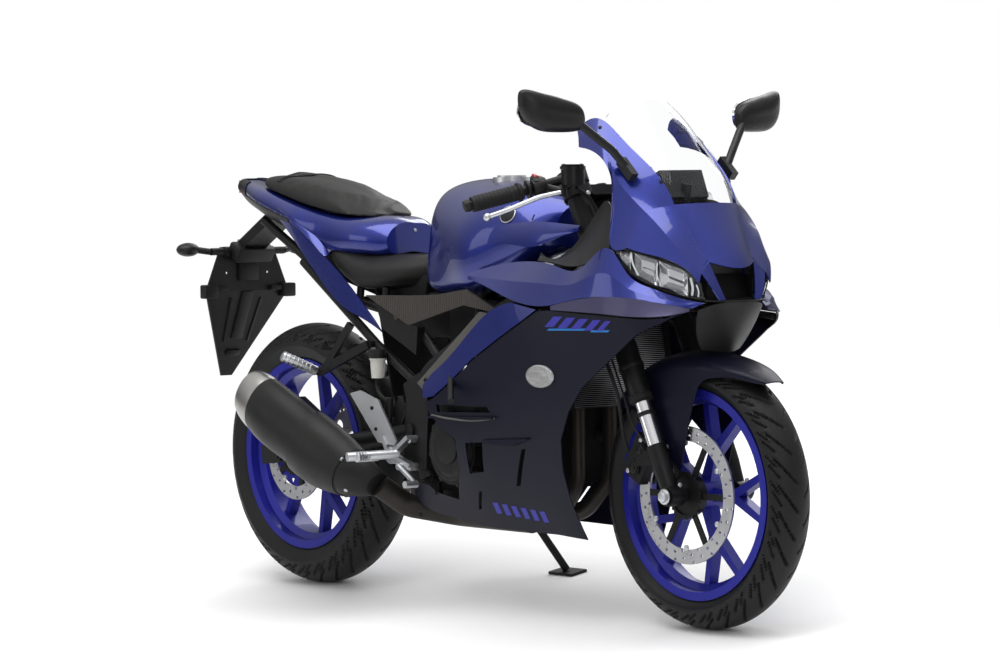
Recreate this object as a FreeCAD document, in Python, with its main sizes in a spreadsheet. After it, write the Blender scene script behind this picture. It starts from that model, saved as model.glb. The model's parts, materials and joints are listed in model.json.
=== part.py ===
import FreeCAD, Part
import math
import os
import Sketcher
from FreeCAD import Placement, Rotation, Vector

# A faired sport motorcycle, in millimetres. It is modelled upright: +X forward, +Y to the rider's left, +Z up,
# with the ground below the middle of the wheelbase as its zero. At the end every sub-part gets the same
# placement, which leans the machine onto its side stand.

doc = FreeCAD.newDocument("sport_motorcycle")

# Driving sizes
sheet = doc.addObject("Spreadsheet::Sheet", "sizes")
DRIVING_SIZES = [
    ("lean_angle", 10, "degrees from upright, on the side stand"),
    ("pivot_x", -154, "swingarm pivot, fore and aft"),
    ("pivot_z", 399, "swingarm pivot, height"),
    ("swingarm_reach", 536, "pivot to rear axle, fore and aft"),
    ("swingarm_drop", 85, "pivot to rear axle, in height"),
    ("head_x", 785, "where the steering axis meets the ground line"),
    ("rake_angle", 25, "degrees of the steering axis from upright"),
    ("fork_offset", 32, "steering axis to fork legs"),
    ("axle_lead", 6, "fork legs to front axle"),
    ("fork_spread", 196, "between the fork legs"),
    ("front_axle_height", 293, "front axle above the ground line"),
    ("front_tyre_radius", 293, "at the crown"),
    ("front_tyre_width", 112, ""),
    ("front_crown_radius", 58, "of the tread, across"),
    ("rear_tyre_radius", 314, "at the crown"),
    ("rear_tyre_width", 142, ""),
    ("rear_crown_radius", 73, "of the tread, across"),
    ("rim_radius", 229, "at the flanges"),
    ("bead_radius", 216, "where the tyre sits"),
    ("well_radius", 200, "rim's drop centre"),
    ("rim_wall", 6, ""),
    ("front_rim_width", 82, "over the flanges"),
    ("rear_rim_width", 114, "over the flanges"),
    ("hub_radius", 36, ""),
    ("front_hub_width", 84, ""),
    ("rear_hub_width", 116, ""),
    ("spoke_width", 22, ""),
    ("spoke_depth", 26, "across the wheel"),
    ("spoke_count", 5, "split spokes"),
    ("axle_radius", 8, ""),
    ("axle_clearance", 0.4, "axle in its bore"),
    ("front_disc_radius", 149, ""),
    ("rear_disc_radius", 110, ""),
    ("disc_band", 32, "width of the braking ring"),
    ("disc_thickness", 4.5, ""),
    ("disc_gap", 15, "hub end to disc"),
    ("stanchion_radius", 18.5, "sliding tube of the fork"),
    ("fork_tube_radius", 26, "outer tube of the fork"),
    ("fork_foot_radius", 22, "axle foot of the fork"),
    ("fork_top", 985, "height of the fork's caps"),
    ("frame_tube_radius", 19, ""),
    ("subframe_tube_radius", 11, ""),
    ("cowl_wall", 3, "moulded panels"),
    ("screen_wall", 2.5, "windscreen"),
    ("sprocket_teeth", 43, "rear sprocket"),
    ("drive_teeth", 15, "front sprocket"),
    ("chain_pitch", 15.875, ""),
    ("chain_line", 84, "chain from the middle plane"),
    ("plate_thickness", 1.8, "chain plates"),
    ("roller_width", 9.4, "inside the chain"),
    ("roller_radius", 5.1, ""),
    ("grip_radius", 17, ""),
    ("bar_radius", 11, ""),
    ("stand_leg_radius", 9, ""),
    ("stand_reach", 262, "stand foot from the middle plane"),
    ("spool_radius", 4, "threaded hole for a paddock stand spool"),
    ("spool_depth", 18, ""),
    ("plate_bolt_radius", 3.3, "number plate holes"),
]
for line, (alias, number, note) in enumerate(DRIVING_SIZES, start=1):
    sheet.set(f"A{line}", alias)
    sheet.set(f"B{line}", str(number))
    sheet.set(f"C{line}", note)
    sheet.setAlias(f"B{line}", alias)
doc.recompute()


def value(alias):
    return float(sheet.get(alias))


# Places worked out from the sizes
rake = math.radians(value("rake_angle"))
lean = math.radians(value("lean_angle"))
steering_direction = Vector(-math.sin(rake), 0, math.cos(rake))
steering_base = Vector(value("head_x"), 0, 0)
fork_shift = value("fork_offset") / math.cos(rake)
front_axle = Vector(
    value("head_x") + fork_shift + value("axle_lead") - value("front_axle_height") * math.tan(rake),
    0,
    value("front_axle_height"),
)
rear_axle = Vector(value("pivot_x") - value("swingarm_reach"), 0, value("pivot_z") - value("swingarm_drop"))
pivot = Vector(value("pivot_x"), 0, value("pivot_z"))
body_core = Vector(250, 0, 640)
sub_parts = []


def steering_x(z):
    return value("head_x") - z * math.tan(rake)


def fork_x(z):
    return steering_x(z) + fork_shift


def keep(obj, label):
    obj.Label = label
    sub_parts.append(obj)
    return obj


def shape_part(label, shape):
    obj = doc.addObject("Part::Feature", label + "_shape")
    obj.Shape = shape
    return keep(obj, label)


def mirrored(shape):
    return shape.mirror(Vector(0, 0, 0), Vector(0, 1, 0))


def right_side(points):
    return [(x, -y, z) for x, y, z in points]


def both_sides(rows):
    # rows of points from the middle outwards become rows from the left edge to the right edge
    return [[(x, y, z) for x, y, z in reversed(row)] + right_side(row[1:]) for row in rows]


# Shapes shared by many pieces
def rod(a, b, radius):
    a = Vector(*a)
    b = Vector(*b)
    return Part.makeCylinder(radius, (b - a).Length, a, b - a)


def taper(a, b, first_radius, last_radius):
    a = Vector(*a)
    b = Vector(*b)
    return Part.makeCone(first_radius, last_radius, (b - a).Length, a, b - a)


def block(low, high):
    low = Vector(*low)
    size = Vector(*high) - low
    return Part.makeBox(size.x, size.y, size.z, low)


def bar_between(a, b, width, depth, up=(0, 0, 1)):
    # a rectangular bar whose length runs from a to b
    a = Vector(*a)
    run = Vector(*b) - a
    side = run.cross(Vector(*up))
    side.normalize()
    rise = side.cross(run)
    rise.normalize()
    corners = [side * (i * width / 2) + rise * (j * depth / 2) + a for i, j in ((-1, -1), (1, -1), (1, 1), (-1, 1))]
    return Part.Face(Part.makePolygon(corners + corners[:1])).extrude(run)


def plate(outline, y, thickness):
    # a flat plate in a plane across Y, its outline given as (x, z)
    points = [Vector(x, y, z) for x, z in outline]
    return Part.Face(Part.makePolygon(points + points[:1])).extrude(Vector(0, thickness, 0))


def joined(shapes):
    whole = shapes[0].multiFuse(shapes[1:])
    return whole.removeSplitter()


def main_piece(shape):
    return max(shape.Solids, key=lambda solid: solid.Volume)


def up_to(piece, *stops):
    # the part of a piece that reaches as far as its seat and no further
    for stop in stops:
        piece = main_piece(piece.cut(stop))
    return piece


def bent_path(points, bend):
    points = [Vector(*p) for p in points]
    edges = []
    start = points[0]
    for before, corner, after in zip(points, points[1:], points[2:]):
        first = (before - corner).normalize()
        last = (after - corner).normalize()
        half = first.getAngle(last) / 2
        reach = min(bend / math.tan(half), 0.45 * (before - corner).Length, 0.45 * (after - corner).Length)
        enter = corner + first * reach
        leave = corner + last * reach
        middle = (first + last).normalize()
        radius = reach * math.tan(half)
        centre = corner + middle * (radius / math.sin(half))
        on_arc = centre - middle * radius
        edges.append(Part.LineSegment(start, enter).toShape())
        edges.append(Part.Arc(enter, on_arc, leave).toShape())
        start = leave
    edges.append(Part.LineSegment(start, points[-1]).toShape())
    return Part.Wire(edges)


def pipe(points, radius, bend=60):
    path = bent_path(points, bend) if len(points) > 2 else Part.makePolygon([Vector(*p) for p in points])
    start = Vector(*points[0])
    ring = Part.Wire(Part.makeCircle(radius, start, Vector(*points[1]) - start))
    return path.makePipeShell([ring], True, False)


# Moulded panels: a surface through rows of points, given a wall and closed along its edges
def fit_curve(points, parameters):
    curve = Part.BSplineCurve()
    if len(points) == 2:
        curve.buildFromPolesMultsKnots(points, [2, 2], parameters, False, 1)
    else:
        curve.interpolate(Points=points, Parameters=parameters)
    return curve


def fit_surface(grid, along, across):
    columns = [fit_curve([row[j] for row in grid], along) for j in range(len(grid[0]))]
    lines = [fit_curve(list(poles), across) for poles in zip(*[column.getPoles() for column in columns])]
    surface = Part.BSplineSurface()
    surface.buildFromPolesMultsKnots(
        [line.getPoles() for line in lines],
        columns[0].getMultiplicities(),
        lines[0].getMultiplicities(),
        columns[0].getKnots(),
        lines[0].getKnots(),
        False,
        False,
        columns[0].Degree,
        lines[0].Degree,
    )
    return surface


def mean_steps(runs):
    # parameters that follow the mean distance between neighbours
    total = 0.0
    parameters = [0.0]
    for k in range(len(runs[0]) - 1):
        total += sum((run[k + 1] - run[k]).Length for run in runs) / len(runs)
        parameters.append(total)
    return parameters


def inner_grid(outer, wall, core):
    rows = len(outer)
    columns = len(outer[0])
    inner = []
    for i in range(rows):
        line = []
        for j in range(columns):
            along = outer[min(i + 1, rows - 1)][j] - outer[max(i - 1, 0)][j]
            across = outer[i][min(j + 1, columns - 1)] - outer[i][max(j - 1, 0)]
            normal = along.cross(across).normalize()
            if normal.dot(core - outer[i][j]) < 0:
                normal = normal * -1
            line.append(outer[i][j] + normal * wall)
        inner.append(line)
    return inner


def edge_between(faces, start, end):
    for face in faces:
        for edge in face.Edges:
            a = edge.Vertexes[0].Point
            b = edge.Vertexes[-1].Point
            if a.distanceToPoint(start) + b.distanceToPoint(end) < 0.02:
                return edge
            if b.distanceToPoint(start) + a.distanceToPoint(end) < 0.02:
                return edge
    raise ValueError("a panel edge is missing")


def skin(rows, wall, core=body_core, creases=()):
    outer = [[Vector(*p) for p in row] for row in rows]
    inner = inner_grid(outer, wall, core)
    along = mean_steps([list(column) for column in zip(*outer)])
    across = mean_steps(outer)
    stops = [0] + list(creases) + [len(outer[0]) - 1]
    runs = list(zip(stops, stops[1:]))
    sides = []
    for grid in (outer, inner):
        sides.append([
            fit_surface([row[a:b + 1] for row in grid], along, across[a:b + 1]).toShape() for a, b in runs
        ])
    faces = sides[0] + sides[1]
    ends = [((i, a), (i, b)) for i in (0, -1) for a, b in runs]
    ends += [((0, j), (-1, j)) for j in (0, -1)]
    for (a, b), (c, d) in ends:
        pair = [edge_between(side, grid[a][b], grid[c][d]) for side, grid in zip(sides, (outer, inner))]
        faces += Part.makeRuledSurface(*pair).Faces
    shell = Part.makeShell(faces)
    shell.sewShape()
    solid = Part.makeSolid(shell)
    if solid.Volume < 0:
        solid.reverse()
    return solid


def trimmed(panel, outline, y_from=-400, y_to=400):
    # keeps what lies inside an outline of (x, z), seen from the side
    return panel.common(plate(outline, y_from, y_to - y_from))


def shaped(sections):
    # a closed lump through closed sections, each a ring of points in a plane of its own
    wires = []
    for ring in sections:
        points = [Vector(*p) for p in ring]
        curve = Part.BSplineCurve()
        curve.interpolate(points, PeriodicFlag=True)
        wires.append(Part.Wire(curve.toShape()))
    return Part.makeLoft(wires, True, False)


def half_ring(half):
    # a ring from its right half, which runs from the top middle down to the bottom middle
    return [(x, -y, z) for x, y, z in half] + [(x, y, z) for x, y, z in reversed(half[1:-1])]


def origin_feature(body, role):
    for feature in body.Origin.OriginFeatures:
        if feature.Role == role:
            return feature
    raise ValueError(role)


def new_sketch(body, name, role):
    sketch = body.newObject("Sketcher::SketchObject", name)
    sketch.AttachmentSupport = (origin_feature(body, role), [""])
    sketch.MapMode = "FlatFace"
    return sketch


def draw_outline(sketch, points):
    for (a, b), (c, d) in zip(points, points[1:] + points[:1]):
        sketch.addGeometry(Part.LineSegment(Vector(a, b, 0), Vector(c, d, 0)))


def draw_circle(sketch, alias, a=0, b=0):
    index = sketch.addGeometry(Part.Circle(Vector(a, b, 0), Vector(0, 0, 1), value(alias)))
    number = sketch.addConstraint(Sketcher.Constraint("Radius", index, value(alias)))
    sketch.setExpression(f"Constraints[{number}]", f"sizes.{alias}")


def revolve_about_axle(body, name, outlines):
    profile = new_sketch(body, name + "_profile", "XY_Plane")
    for outline in outlines:
        draw_outline(profile, outline)
    turned = body.newObject("PartDesign::Revolution", name)
    turned.Profile = profile
    turned.ReferenceAxis = (profile, ["V_Axis"])
    turned.Angle = 360
    doc.recompute()
    return turned


# Wheels
def wheel_rim(label, axle, rim_width, hub_width):
    body = doc.addObject("PartDesign::Body", label + "_body")
    hub = value("hub_radius")
    bore = value("axle_radius") + value("axle_clearance")
    half_hub = hub_width / 2
    revolve_about_axle(body, label + "_hub", [[(bore, -half_hub), (hub, -half_hub), (hub, half_hub), (bore, half_hub)]])

    well = value("well_radius")
    wall = value("rim_wall")
    spoke = new_sketch(body, label + "_spoke", "XZ_Plane")
    arm_end = well - wall / 2 - 1
    arm_angle = math.radians(15)
    fork_start = 92
    half_width = value("spoke_width") / 2
    end = Vector(arm_end * math.cos(arm_angle), arm_end * math.sin(arm_angle), 0)
    along = (end - Vector(fork_start, 0, 0)).normalize()
    across = Vector(-along.y, along.x, 0) * (half_width * 0.7)
    outer = end + across
    inner = end - across
    crotch = fork_start + half_width * 1.9
    draw_outline(spoke, [
        (hub * 0.8, -half_width * 1.4), (fork_start, -half_width), (outer.x, -outer.y), (inner.x, -inner.y),
        (crotch, 0), (inner.x, inner.y), (outer.x, outer.y), (fork_start, half_width), (hub * 0.8, half_width * 1.4),
    ])
    pad = body.newObject("PartDesign::Pad", label + "_spoke_pad")
    pad.Profile = spoke
    pad.Midplane = True
    pad.setExpression("Length", "sizes.spoke_depth")
    doc.recompute()
    pattern = body.newObject("PartDesign::PolarPattern", label + "_spokes")
    pattern.Originals = [pad]
    pattern.Axis = (origin_feature(body, "Y_Axis"), [""])
    pattern.Angle = 360
    pattern.setExpression("Occurrences", "sizes.spoke_count")
    body.Tip = pattern
    doc.recompute()

    rim = value("rim_radius")
    bead = value("bead_radius")
    half = rim_width / 2
    flange = wall * 0.8
    bead_seat = 17
    well_slope = 10
    shoulder = half - flange - bead_seat
    drop = shoulder - well_slope
    outside = [(rim, half), (rim, half - flange), (bead, half - flange), (bead - 1, shoulder), (well, drop)]
    inside = [(bead - wall, half), (bead - wall - 1, shoulder), (well - wall, drop)]
    ring = outside + [(r, -y) for r, y in reversed(outside)] + [(r, -y) for r, y in inside]
    ring += list(reversed(inside))
    revolve_about_axle(body, label + "_barrel", [ring])
    body.Placement = Placement(axle, Rotation())
    return keep(body, label)


def tyre(label, axle, radius, width, crown, rim_width):
    body = doc.addObject("PartDesign::Body", label + "_body")
    profile = new_sketch(body, label + "_profile", "XY_Plane")
    wall = 9
    centre = radius - crown
    crown_end = math.asin(min(width / 2 / crown, 0.96))
    edge = (centre + crown * math.cos(crown_end), crown * math.sin(crown_end))
    rim = value("rim_radius")
    bead = value("bead_radius")
    flange = value("rim_wall") * 0.8
    inside_flange = rim_width / 2 - flange - 0.1
    side = [edge, (rim + 7, rim_width / 2 + 1), (rim + 1, inside_flange), (bead + 0.1, inside_flange)]
    foot = inside_flange - 16
    lining = [(bead + 0.1, foot), (rim + 6, rim_width / 2 - 12), (edge[0], edge[1] - wall)]
    top = (radius - wall, 0)

    def line(a, b):
        profile.addGeometry(Part.LineSegment(Vector(a[0], a[1], 0), Vector(b[0], b[1], 0)))

    def arc(a, b, c):
        profile.addGeometry(Part.Arc(Vector(a[0], a[1], 0), Vector(b[0], b[1], 0), Vector(c[0], c[1], 0)))

    right = [(r, -y) for r, y in side]
    right_lining = [(r, -y) for r, y in lining]
    arc(edge, (radius, 0), right[0])
    arc(lining[-1], top, right_lining[-1])
    for run in (side + lining, right + right_lining):
        for a, b in zip(run, run[1:]):
            line(a, b)
    turned = body.newObject("PartDesign::Revolution", label + "_turned")
    turned.Profile = profile
    turned.ReferenceAxis = (profile, ["V_Axis"])
    turned.Angle = 360
    doc.recompute()
    body.Placement = Placement(axle, Rotation())
    return keep(body, label)


def drilled_disc(label, axle, alias, y, rows, per_row):
    body = doc.addObject("PartDesign::Body", label + "_body")
    radius = value(alias)
    inner = radius - value("disc_band")
    sketch = new_sketch(body, label + "_ring", "XZ_Plane")
    draw_circle(sketch, alias)
    sketch.addGeometry(Part.Circle(Vector(0, 0, 0), Vector(0, 0, 1), inner))
    pad = body.newObject("PartDesign::Pad", label + "_pad")
    pad.Profile = sketch
    pad.Midplane = True
    pad.setExpression("Length", "sizes.disc_thickness")
    doc.recompute()
    holes = new_sketch(body, label + "_holes", "XZ_Plane")
    hole = 3.5
    for k in range(rows):
        reach = inner + (k + 0.5) * value("disc_band") / rows
        angle = 0.55 * k * 2 * math.pi / per_row
        spot = Vector(reach * math.cos(angle), reach * math.sin(angle), 0)
        holes.addGeometry(Part.Circle(spot, Vector(0, 0, 1), hole))
    pocket = body.newObject("PartDesign::Pocket", label + "_drilling")
    pocket.Profile = holes
    pocket.Midplane = True
    pocket.Length = 4 * value("disc_thickness")
    doc.recompute()
    pattern = body.newObject("PartDesign::PolarPattern", label + "_pattern")
    pattern.Originals = [pocket]
    pattern.Axis = (origin_feature(body, "Y_Axis"), [""])
    pattern.Angle = 360
    pattern.Occurrences = per_row
    body.Tip = pattern
    doc.recompute()
    body.Placement = Placement(axle + Vector(0, y, 0), Rotation())
    return keep(body, label)


front_disc_y = -(value("front_hub_width") / 2 + value("disc_gap") + value("disc_thickness") / 2)
rear_disc_y = -(value("rear_hub_width") / 2 + value("disc_gap") + value("disc_thickness") / 2)
wheel_rim("front_rim", front_axle, value("front_rim_width"), value("front_hub_width"))
wheel_rim("rear_rim", rear_axle, value("rear_rim_width"), value("rear_hub_width"))
tyre(
    "front_tyre", front_axle, value("front_tyre_radius"), value("front_tyre_width"),
    value("front_crown_radius"), value("front_rim_width"),
)
tyre(
    "rear_tyre", rear_axle, value("rear_tyre_radius"), value("rear_tyre_width"),
    value("rear_crown_radius"), value("rear_rim_width"),
)
drilled_disc("front_disc", front_axle, "front_disc_radius", front_disc_y, 4, 15)
drilled_disc("rear_disc", rear_axle, "rear_disc_radius", rear_disc_y, 3, 12)


def disc_carrier(axle, disc_radius, disc_y, hub_width, arms):
    # a boss on the hub's end and arms out to the ring's inner edge
    inner = disc_radius - value("disc_band")
    bore = value("axle_radius") + value("axle_clearance")
    hub = value("hub_radius")
    thickness = value("disc_thickness")
    hub_end = -hub_width / 2
    outer_face = disc_y - thickness / 2
    boss = rod((0, hub_end, 0), (0, outer_face, 0), hub + 10).cut(rod((0, hub_end + 1, 0), (0, outer_face - 1, 0), bore))
    pieces = [boss]
    for k in range(arms):
        angle = 2 * math.pi * k / arms
        arm = block((hub, outer_face, -7), (inner + 4, outer_face + thickness, 7))
        button = rod((inner + 4, outer_face, 0), (inner + 4, outer_face + thickness, 0), 7)
        piece = arm.fuse(button)
        piece.rotate(Vector(0, 0, 0), Vector(0, 1, 0), math.degrees(angle))
        pieces.append(piece)
    ring = rod((0, outer_face - 1, 0), (0, outer_face + thickness + 1, 0), inner).common(joined(pieces))
    carrier = joined([boss, ring])
    carrier.translate(axle)
    return carrier


shape_part("front_disc_carrier", disc_carrier(
    front_axle, value("front_disc_radius"), front_disc_y, value("front_hub_width"), 6,
))
shape_part("rear_disc_carrier", disc_carrier(
    rear_axle, value("rear_disc_radius"), rear_disc_y, value("rear_hub_width"), 5,
))

# Rear sprocket and chain
sprocket_radius = value("chain_pitch") / 2 / math.sin(math.pi / value("sprocket_teeth"))
drive_radius = value("chain_pitch") / 2 / math.sin(math.pi / value("drive_teeth"))
sprocket_thickness = 5.8
drive_centre = pivot + Vector(58, value("chain_line"), 8)
driven_centre = rear_axle + Vector(0, value("chain_line"), 0)


def sprocket():
    body = doc.addObject("PartDesign::Body", "rear_sprocket_body")
    sketch = new_sketch(body, "rear_sprocket_outline", "XZ_Plane")
    teeth = int(value("sprocket_teeth"))
    root = sprocket_radius - value("roller_radius") - 1.4
    tip = root - 0.2
    points = []
    for k in range(teeth):
        for part, reach in ((0.0, root - 5), (0.3, root - 5), (0.42, tip), (0.58, tip), (0.7, root - 5)):
            if part == 0.0:
                continue
            angle = 2 * math.pi * (k + part) / teeth
            points.append((reach * math.cos(angle), reach * math.sin(angle)))
    draw_outline(sketch, points)
    draw_circle(sketch, "hub_radius")
    pad = body.newObject("PartDesign::Pad", "rear_sprocket_pad")
    pad.Profile = sketch
    pad.Midplane = True
    pad.Length = sprocket_thickness
    doc.recompute()
    window = new_sketch(body, "rear_sprocket_window", "XZ_Plane")
    window.addGeometry(Part.Circle(Vector(68, 0, 0), Vector(0, 0, 1), 15))
    pocket = body.newObject("PartDesign::Pocket", "rear_sprocket_lightening")
    pocket.Profile = window
    pocket.Midplane = True
    pocket.Length = 4 * sprocket_thickness
    doc.recompute()
    pattern = body.newObject("PartDesign::PolarPattern", "rear_sprocket_windows")
    pattern.Originals = [pocket]
    pattern.Axis = (origin_feature(body, "Y_Axis"), [""])
    pattern.Angle = 360
    pattern.Occurrences = 6
    body.Tip = pattern
    doc.recompute()
    body.Placement = Placement(driven_centre, Rotation())
    return keep(body, "rear_sprocket")


sprocket()


def sprocket_carrier():
    # the cush drive boss between the hub and the sprocket
    start = value("rear_hub_width") / 2
    stop = value("chain_line") + sprocket_thickness / 2
    boss = rod((0, start, 0), (0, stop, 0), value("hub_radius"))
    flange = rod((0, start, 0), (0, value("chain_line") - sprocket_thickness / 2, 0), value("hub_radius") + 18)
    bore = value("axle_radius") + value("axle_clearance")
    carrier = boss.fuse(flange).cut(rod((0, start - 1, 0), (0, stop + 1, 0), bore))
    carrier.translate(rear_axle)
    return carrier


shape_part("sprocket_carrier", sprocket_carrier())


def loop_wire(reach, y):
    # the outline round both sprockets, kept at a distance from their pitch circles
    small = drive_radius + reach
    large = sprocket_radius + reach
    span = drive_centre - driven_centre
    distance = math.hypot(span.x, span.z)
    heading = math.atan2(span.z, span.x)
    lift = math.acos((large - small) / distance)
    points = {}
    for side in (1, -1):
        direction = Vector(math.cos(heading + side * lift), 0, math.sin(heading + side * lift))
        points[side] = (driven_centre + direction * large, drive_centre + direction * small)
    back = driven_centre - Vector(math.cos(heading), 0, math.sin(heading)) * large
    front = drive_centre + Vector(math.cos(heading), 0, math.sin(heading)) * small
    edges = [
        Part.LineSegment(points[1][0], points[1][1]).toShape(),
        Part.Arc(points[1][1], front, points[-1][1]).toShape(),
        Part.LineSegment(points[-1][1], points[-1][0]).toShape(),
        Part.Arc(points[-1][0], back, points[1][0]).toShape(),
    ]
    wire = Part.Wire(edges)
    wire.translate(Vector(0, y - value("chain_line"), 0))
    return wire


def chain_band(y, width, reach_in, reach_out):
    outer = Part.Face(loop_wire(reach_out, y)).extrude(Vector(0, width, 0))
    inner = Part.Face(loop_wire(reach_in, y)).extrude(Vector(0, width, 0))
    return outer.cut(inner)


def drive_chain():
    half_plate = 7
    line_y = value("chain_line")
    inside = value("roller_width") / 2
    bands = [
        chain_band(line_y + inside, value("plate_thickness") * 2, -half_plate, half_plate),
        chain_band(line_y - inside - value("plate_thickness") * 2, value("plate_thickness") * 2, -half_plate, half_plate),
    ]
    rollers = []
    wire = loop_wire(0, line_y)
    pitch_count = int(round(wire.Length / value("chain_pitch") / 2)) * 2
    for spot in wire.discretize(Number=pitch_count + 1)[:-1]:
        rollers.append(rod(
            (spot.x, line_y - inside, spot.z), (spot.x, line_y + inside, spot.z), value("roller_radius"),
        ))
    return Part.makeCompound(bands).fuse(Part.makeCompound(rollers))


shape_part("drive_chain", drive_chain())

# Fork, clamps and bars
fork_half = value("fork_spread") / 2
tube_radius = value("fork_tube_radius")


def on_fork(z, y=None):
    return (fork_x(z), -fork_half if y is None else y, z)


def on_steering(z):
    return (steering_x(z), 0, z)


outer_tube_end = 497
foot_top = 398
forward_of_axis = Vector(math.cos(rake), 0, math.sin(rake))
lower_clamp = Vector(*on_steering(788))
upper_clamp = Vector(*on_steering(928))
lower_clamp_depth = 34
upper_clamp_depth = 24
stem_radius = 14
bearing_gap = 0.4


def fork_tubes():
    pieces = []
    for y in (-fork_half, fork_half):
        pieces.append(rod(on_fork(outer_tube_end, y), on_fork(value("fork_top"), y), tube_radius))
    for middle, depth in ((lower_clamp, lower_clamp_depth), (upper_clamp, upper_clamp_depth)):
        rise = steering_direction * (depth / 2)
        web = middle + forward_of_axis * (value("fork_offset") - 10)
        reach = Vector(0, fork_half + 6, 0)
        pieces.append(bar_between(tuple(web - reach), tuple(web + reach), depth, 58, up=tuple(forward_of_axis)))
        pieces.append(rod(tuple(middle - rise), tuple(middle + rise), 30))
        for y in (-fork_half, fork_half):
            leg = middle + forward_of_axis * value("fork_offset") + Vector(0, y, 0)
            pieces.append(rod(tuple(leg - rise), tuple(leg + rise), tube_radius + 7))
    pieces.append(rod(tuple(lower_clamp), tuple(upper_clamp), stem_radius))
    return joined(pieces)


shape_part("fork_tubes", fork_tubes())
shape_part("fork_stanchions", Part.makeCompound([
    rod(on_fork(foot_top, y), on_fork(outer_tube_end, y), value("stanchion_radius")) for y in (-fork_half, fork_half)
]))


def fork_feet():
    pieces = []
    foot = value("fork_foot_radius")
    for side in (-1, 1):
        y = side * fork_half
        pieces.append(rod(on_fork(foot_top - 46, y), on_fork(foot_top, y), foot))
        pieces.append(taper(on_fork(foot_top - 46, y), on_fork(front_axle.z, y), foot, foot - 5))
        pieces.append(rod((front_axle.x, y - side * 18, front_axle.z), (front_axle.x, y + side * 20, front_axle.z), foot))
        collar_start = side * (value("front_hub_width") / 2 + value("disc_gap") + value("disc_thickness") + 1)
        pieces.append(rod((front_axle.x, collar_start, front_axle.z), (front_axle.x, y, front_axle.z), 13))
    pieces.append(rod(
        (front_axle.x, -fork_half - 26, front_axle.z), (front_axle.x, fork_half + 26, front_axle.z), value("axle_radius"),
    ))
    return joined(pieces)


shape_part("fork_feet", fork_feet())

ring_height = 972


def by_bar(forward, y, up):
    # a place given from where the right bar's ring sits on its fork leg
    return (fork_x(ring_height) + forward, y, ring_height + up)


grip_inner = by_bar(-2, 225, -22)
grip_end = by_bar(-55, 345, -54)


def handlebars():
    pieces = []
    for side in (-1, 1):
        centre = Vector(*on_fork(ring_height, side * fork_half))
        ring = rod(tuple(centre - steering_direction * 14), tuple(centre + steering_direction * 14), tube_radius + 8)
        hole = rod(tuple(centre - steering_direction * 15), tuple(centre + steering_direction * 15), tube_radius)
        bar = pipe([
            (fork_x(ring_height) + 4, side * (fork_half + tube_radius + 3), ring_height),
            (grip_inner[0], side * grip_inner[1], grip_inner[2]),
            (grip_end[0], side * grip_end[1], grip_end[2]),
        ], value("bar_radius"), 60)
        pieces.append(ring.cut(hole).fuse(bar))
    return Part.makeCompound(pieces)


handlebar_shape = handlebars()
shape_part("handlebars", handlebar_shape)


def along_grip(share, side):
    a = Vector(grip_inner[0], side * grip_inner[1], grip_inner[2])
    b = Vector(grip_end[0], side * grip_end[1], grip_end[2])
    return a + (b - a) * share


def hand_grips():
    pieces = []
    for side in (-1, 1):
        start = tuple(along_grip(0.14, side))
        stop = tuple(along_grip(0.97, side))
        grip = rod(start, stop, value("grip_radius"))
        collar = rod(start, tuple(along_grip(0.18, side)), value("grip_radius") + 4)
        hole = rod(tuple(along_grip(0.0, side)), tuple(along_grip(1.0, side)), value("bar_radius") + 0.1)
        pieces.append(grip.fuse(collar).cut(hole))
    return Part.makeCompound(pieces)


shape_part("hand_grips", hand_grips())


def levers():
    pieces = []
    for side in (-1, 1):
        lever = pipe([
            by_bar(85, side * 206, -28), by_bar(63, side * 250, -38), by_bar(23, side * 300, -64),
            by_bar(-12, side * 332, -80),
        ], 5.5, 60)
        ball = Part.makeSphere(9, Vector(*by_bar(-12, side * 332, -80)))
        pieces.append(joined([lever, ball]))
    return Part.makeCompound(pieces)


lever_shape = levers()
shape_part("hand_levers", lever_shape)


def lever_perches():
    # clamps on the bars that carry the levers, the right one with the brake's pump and its round can
    pieces = []
    for side in (-1, 1):
        clamp_at = Vector(*by_bar(1, side * 190, -16.4))
        outward = Vector(-0.03, side * 0.95, -0.19).normalize()
        clamp = rod(tuple(clamp_at - outward * 9), tuple(clamp_at + outward * 9), 18)
        arm = rod(by_bar(13, side * 190, -17), by_bar(85, side * 199, -28), 9)
        eye = rod(by_bar(85, side * 200, -36), by_bar(85, side * 200, -20), 9)
        whole = [clamp, arm, eye]
        if side < 0:
            can = rod(by_bar(85, -170, -12), by_bar(84, -170, 22), 26)
            lid = rod(by_bar(84, -170, 22), by_bar(84, -170, 29), 28)
            neck = rod(by_bar(63, -192, -24), by_bar(81, -176, -10), 9)
            whole += [can, lid, neck]
        perch = joined(whole)
        for piece in (handlebar_shape, lever_shape):
            perch = perch.cut(piece)
        pieces.append(perch)
    return Part.makeCompound(pieces)


shape_part("lever_perches", lever_perches())


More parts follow.
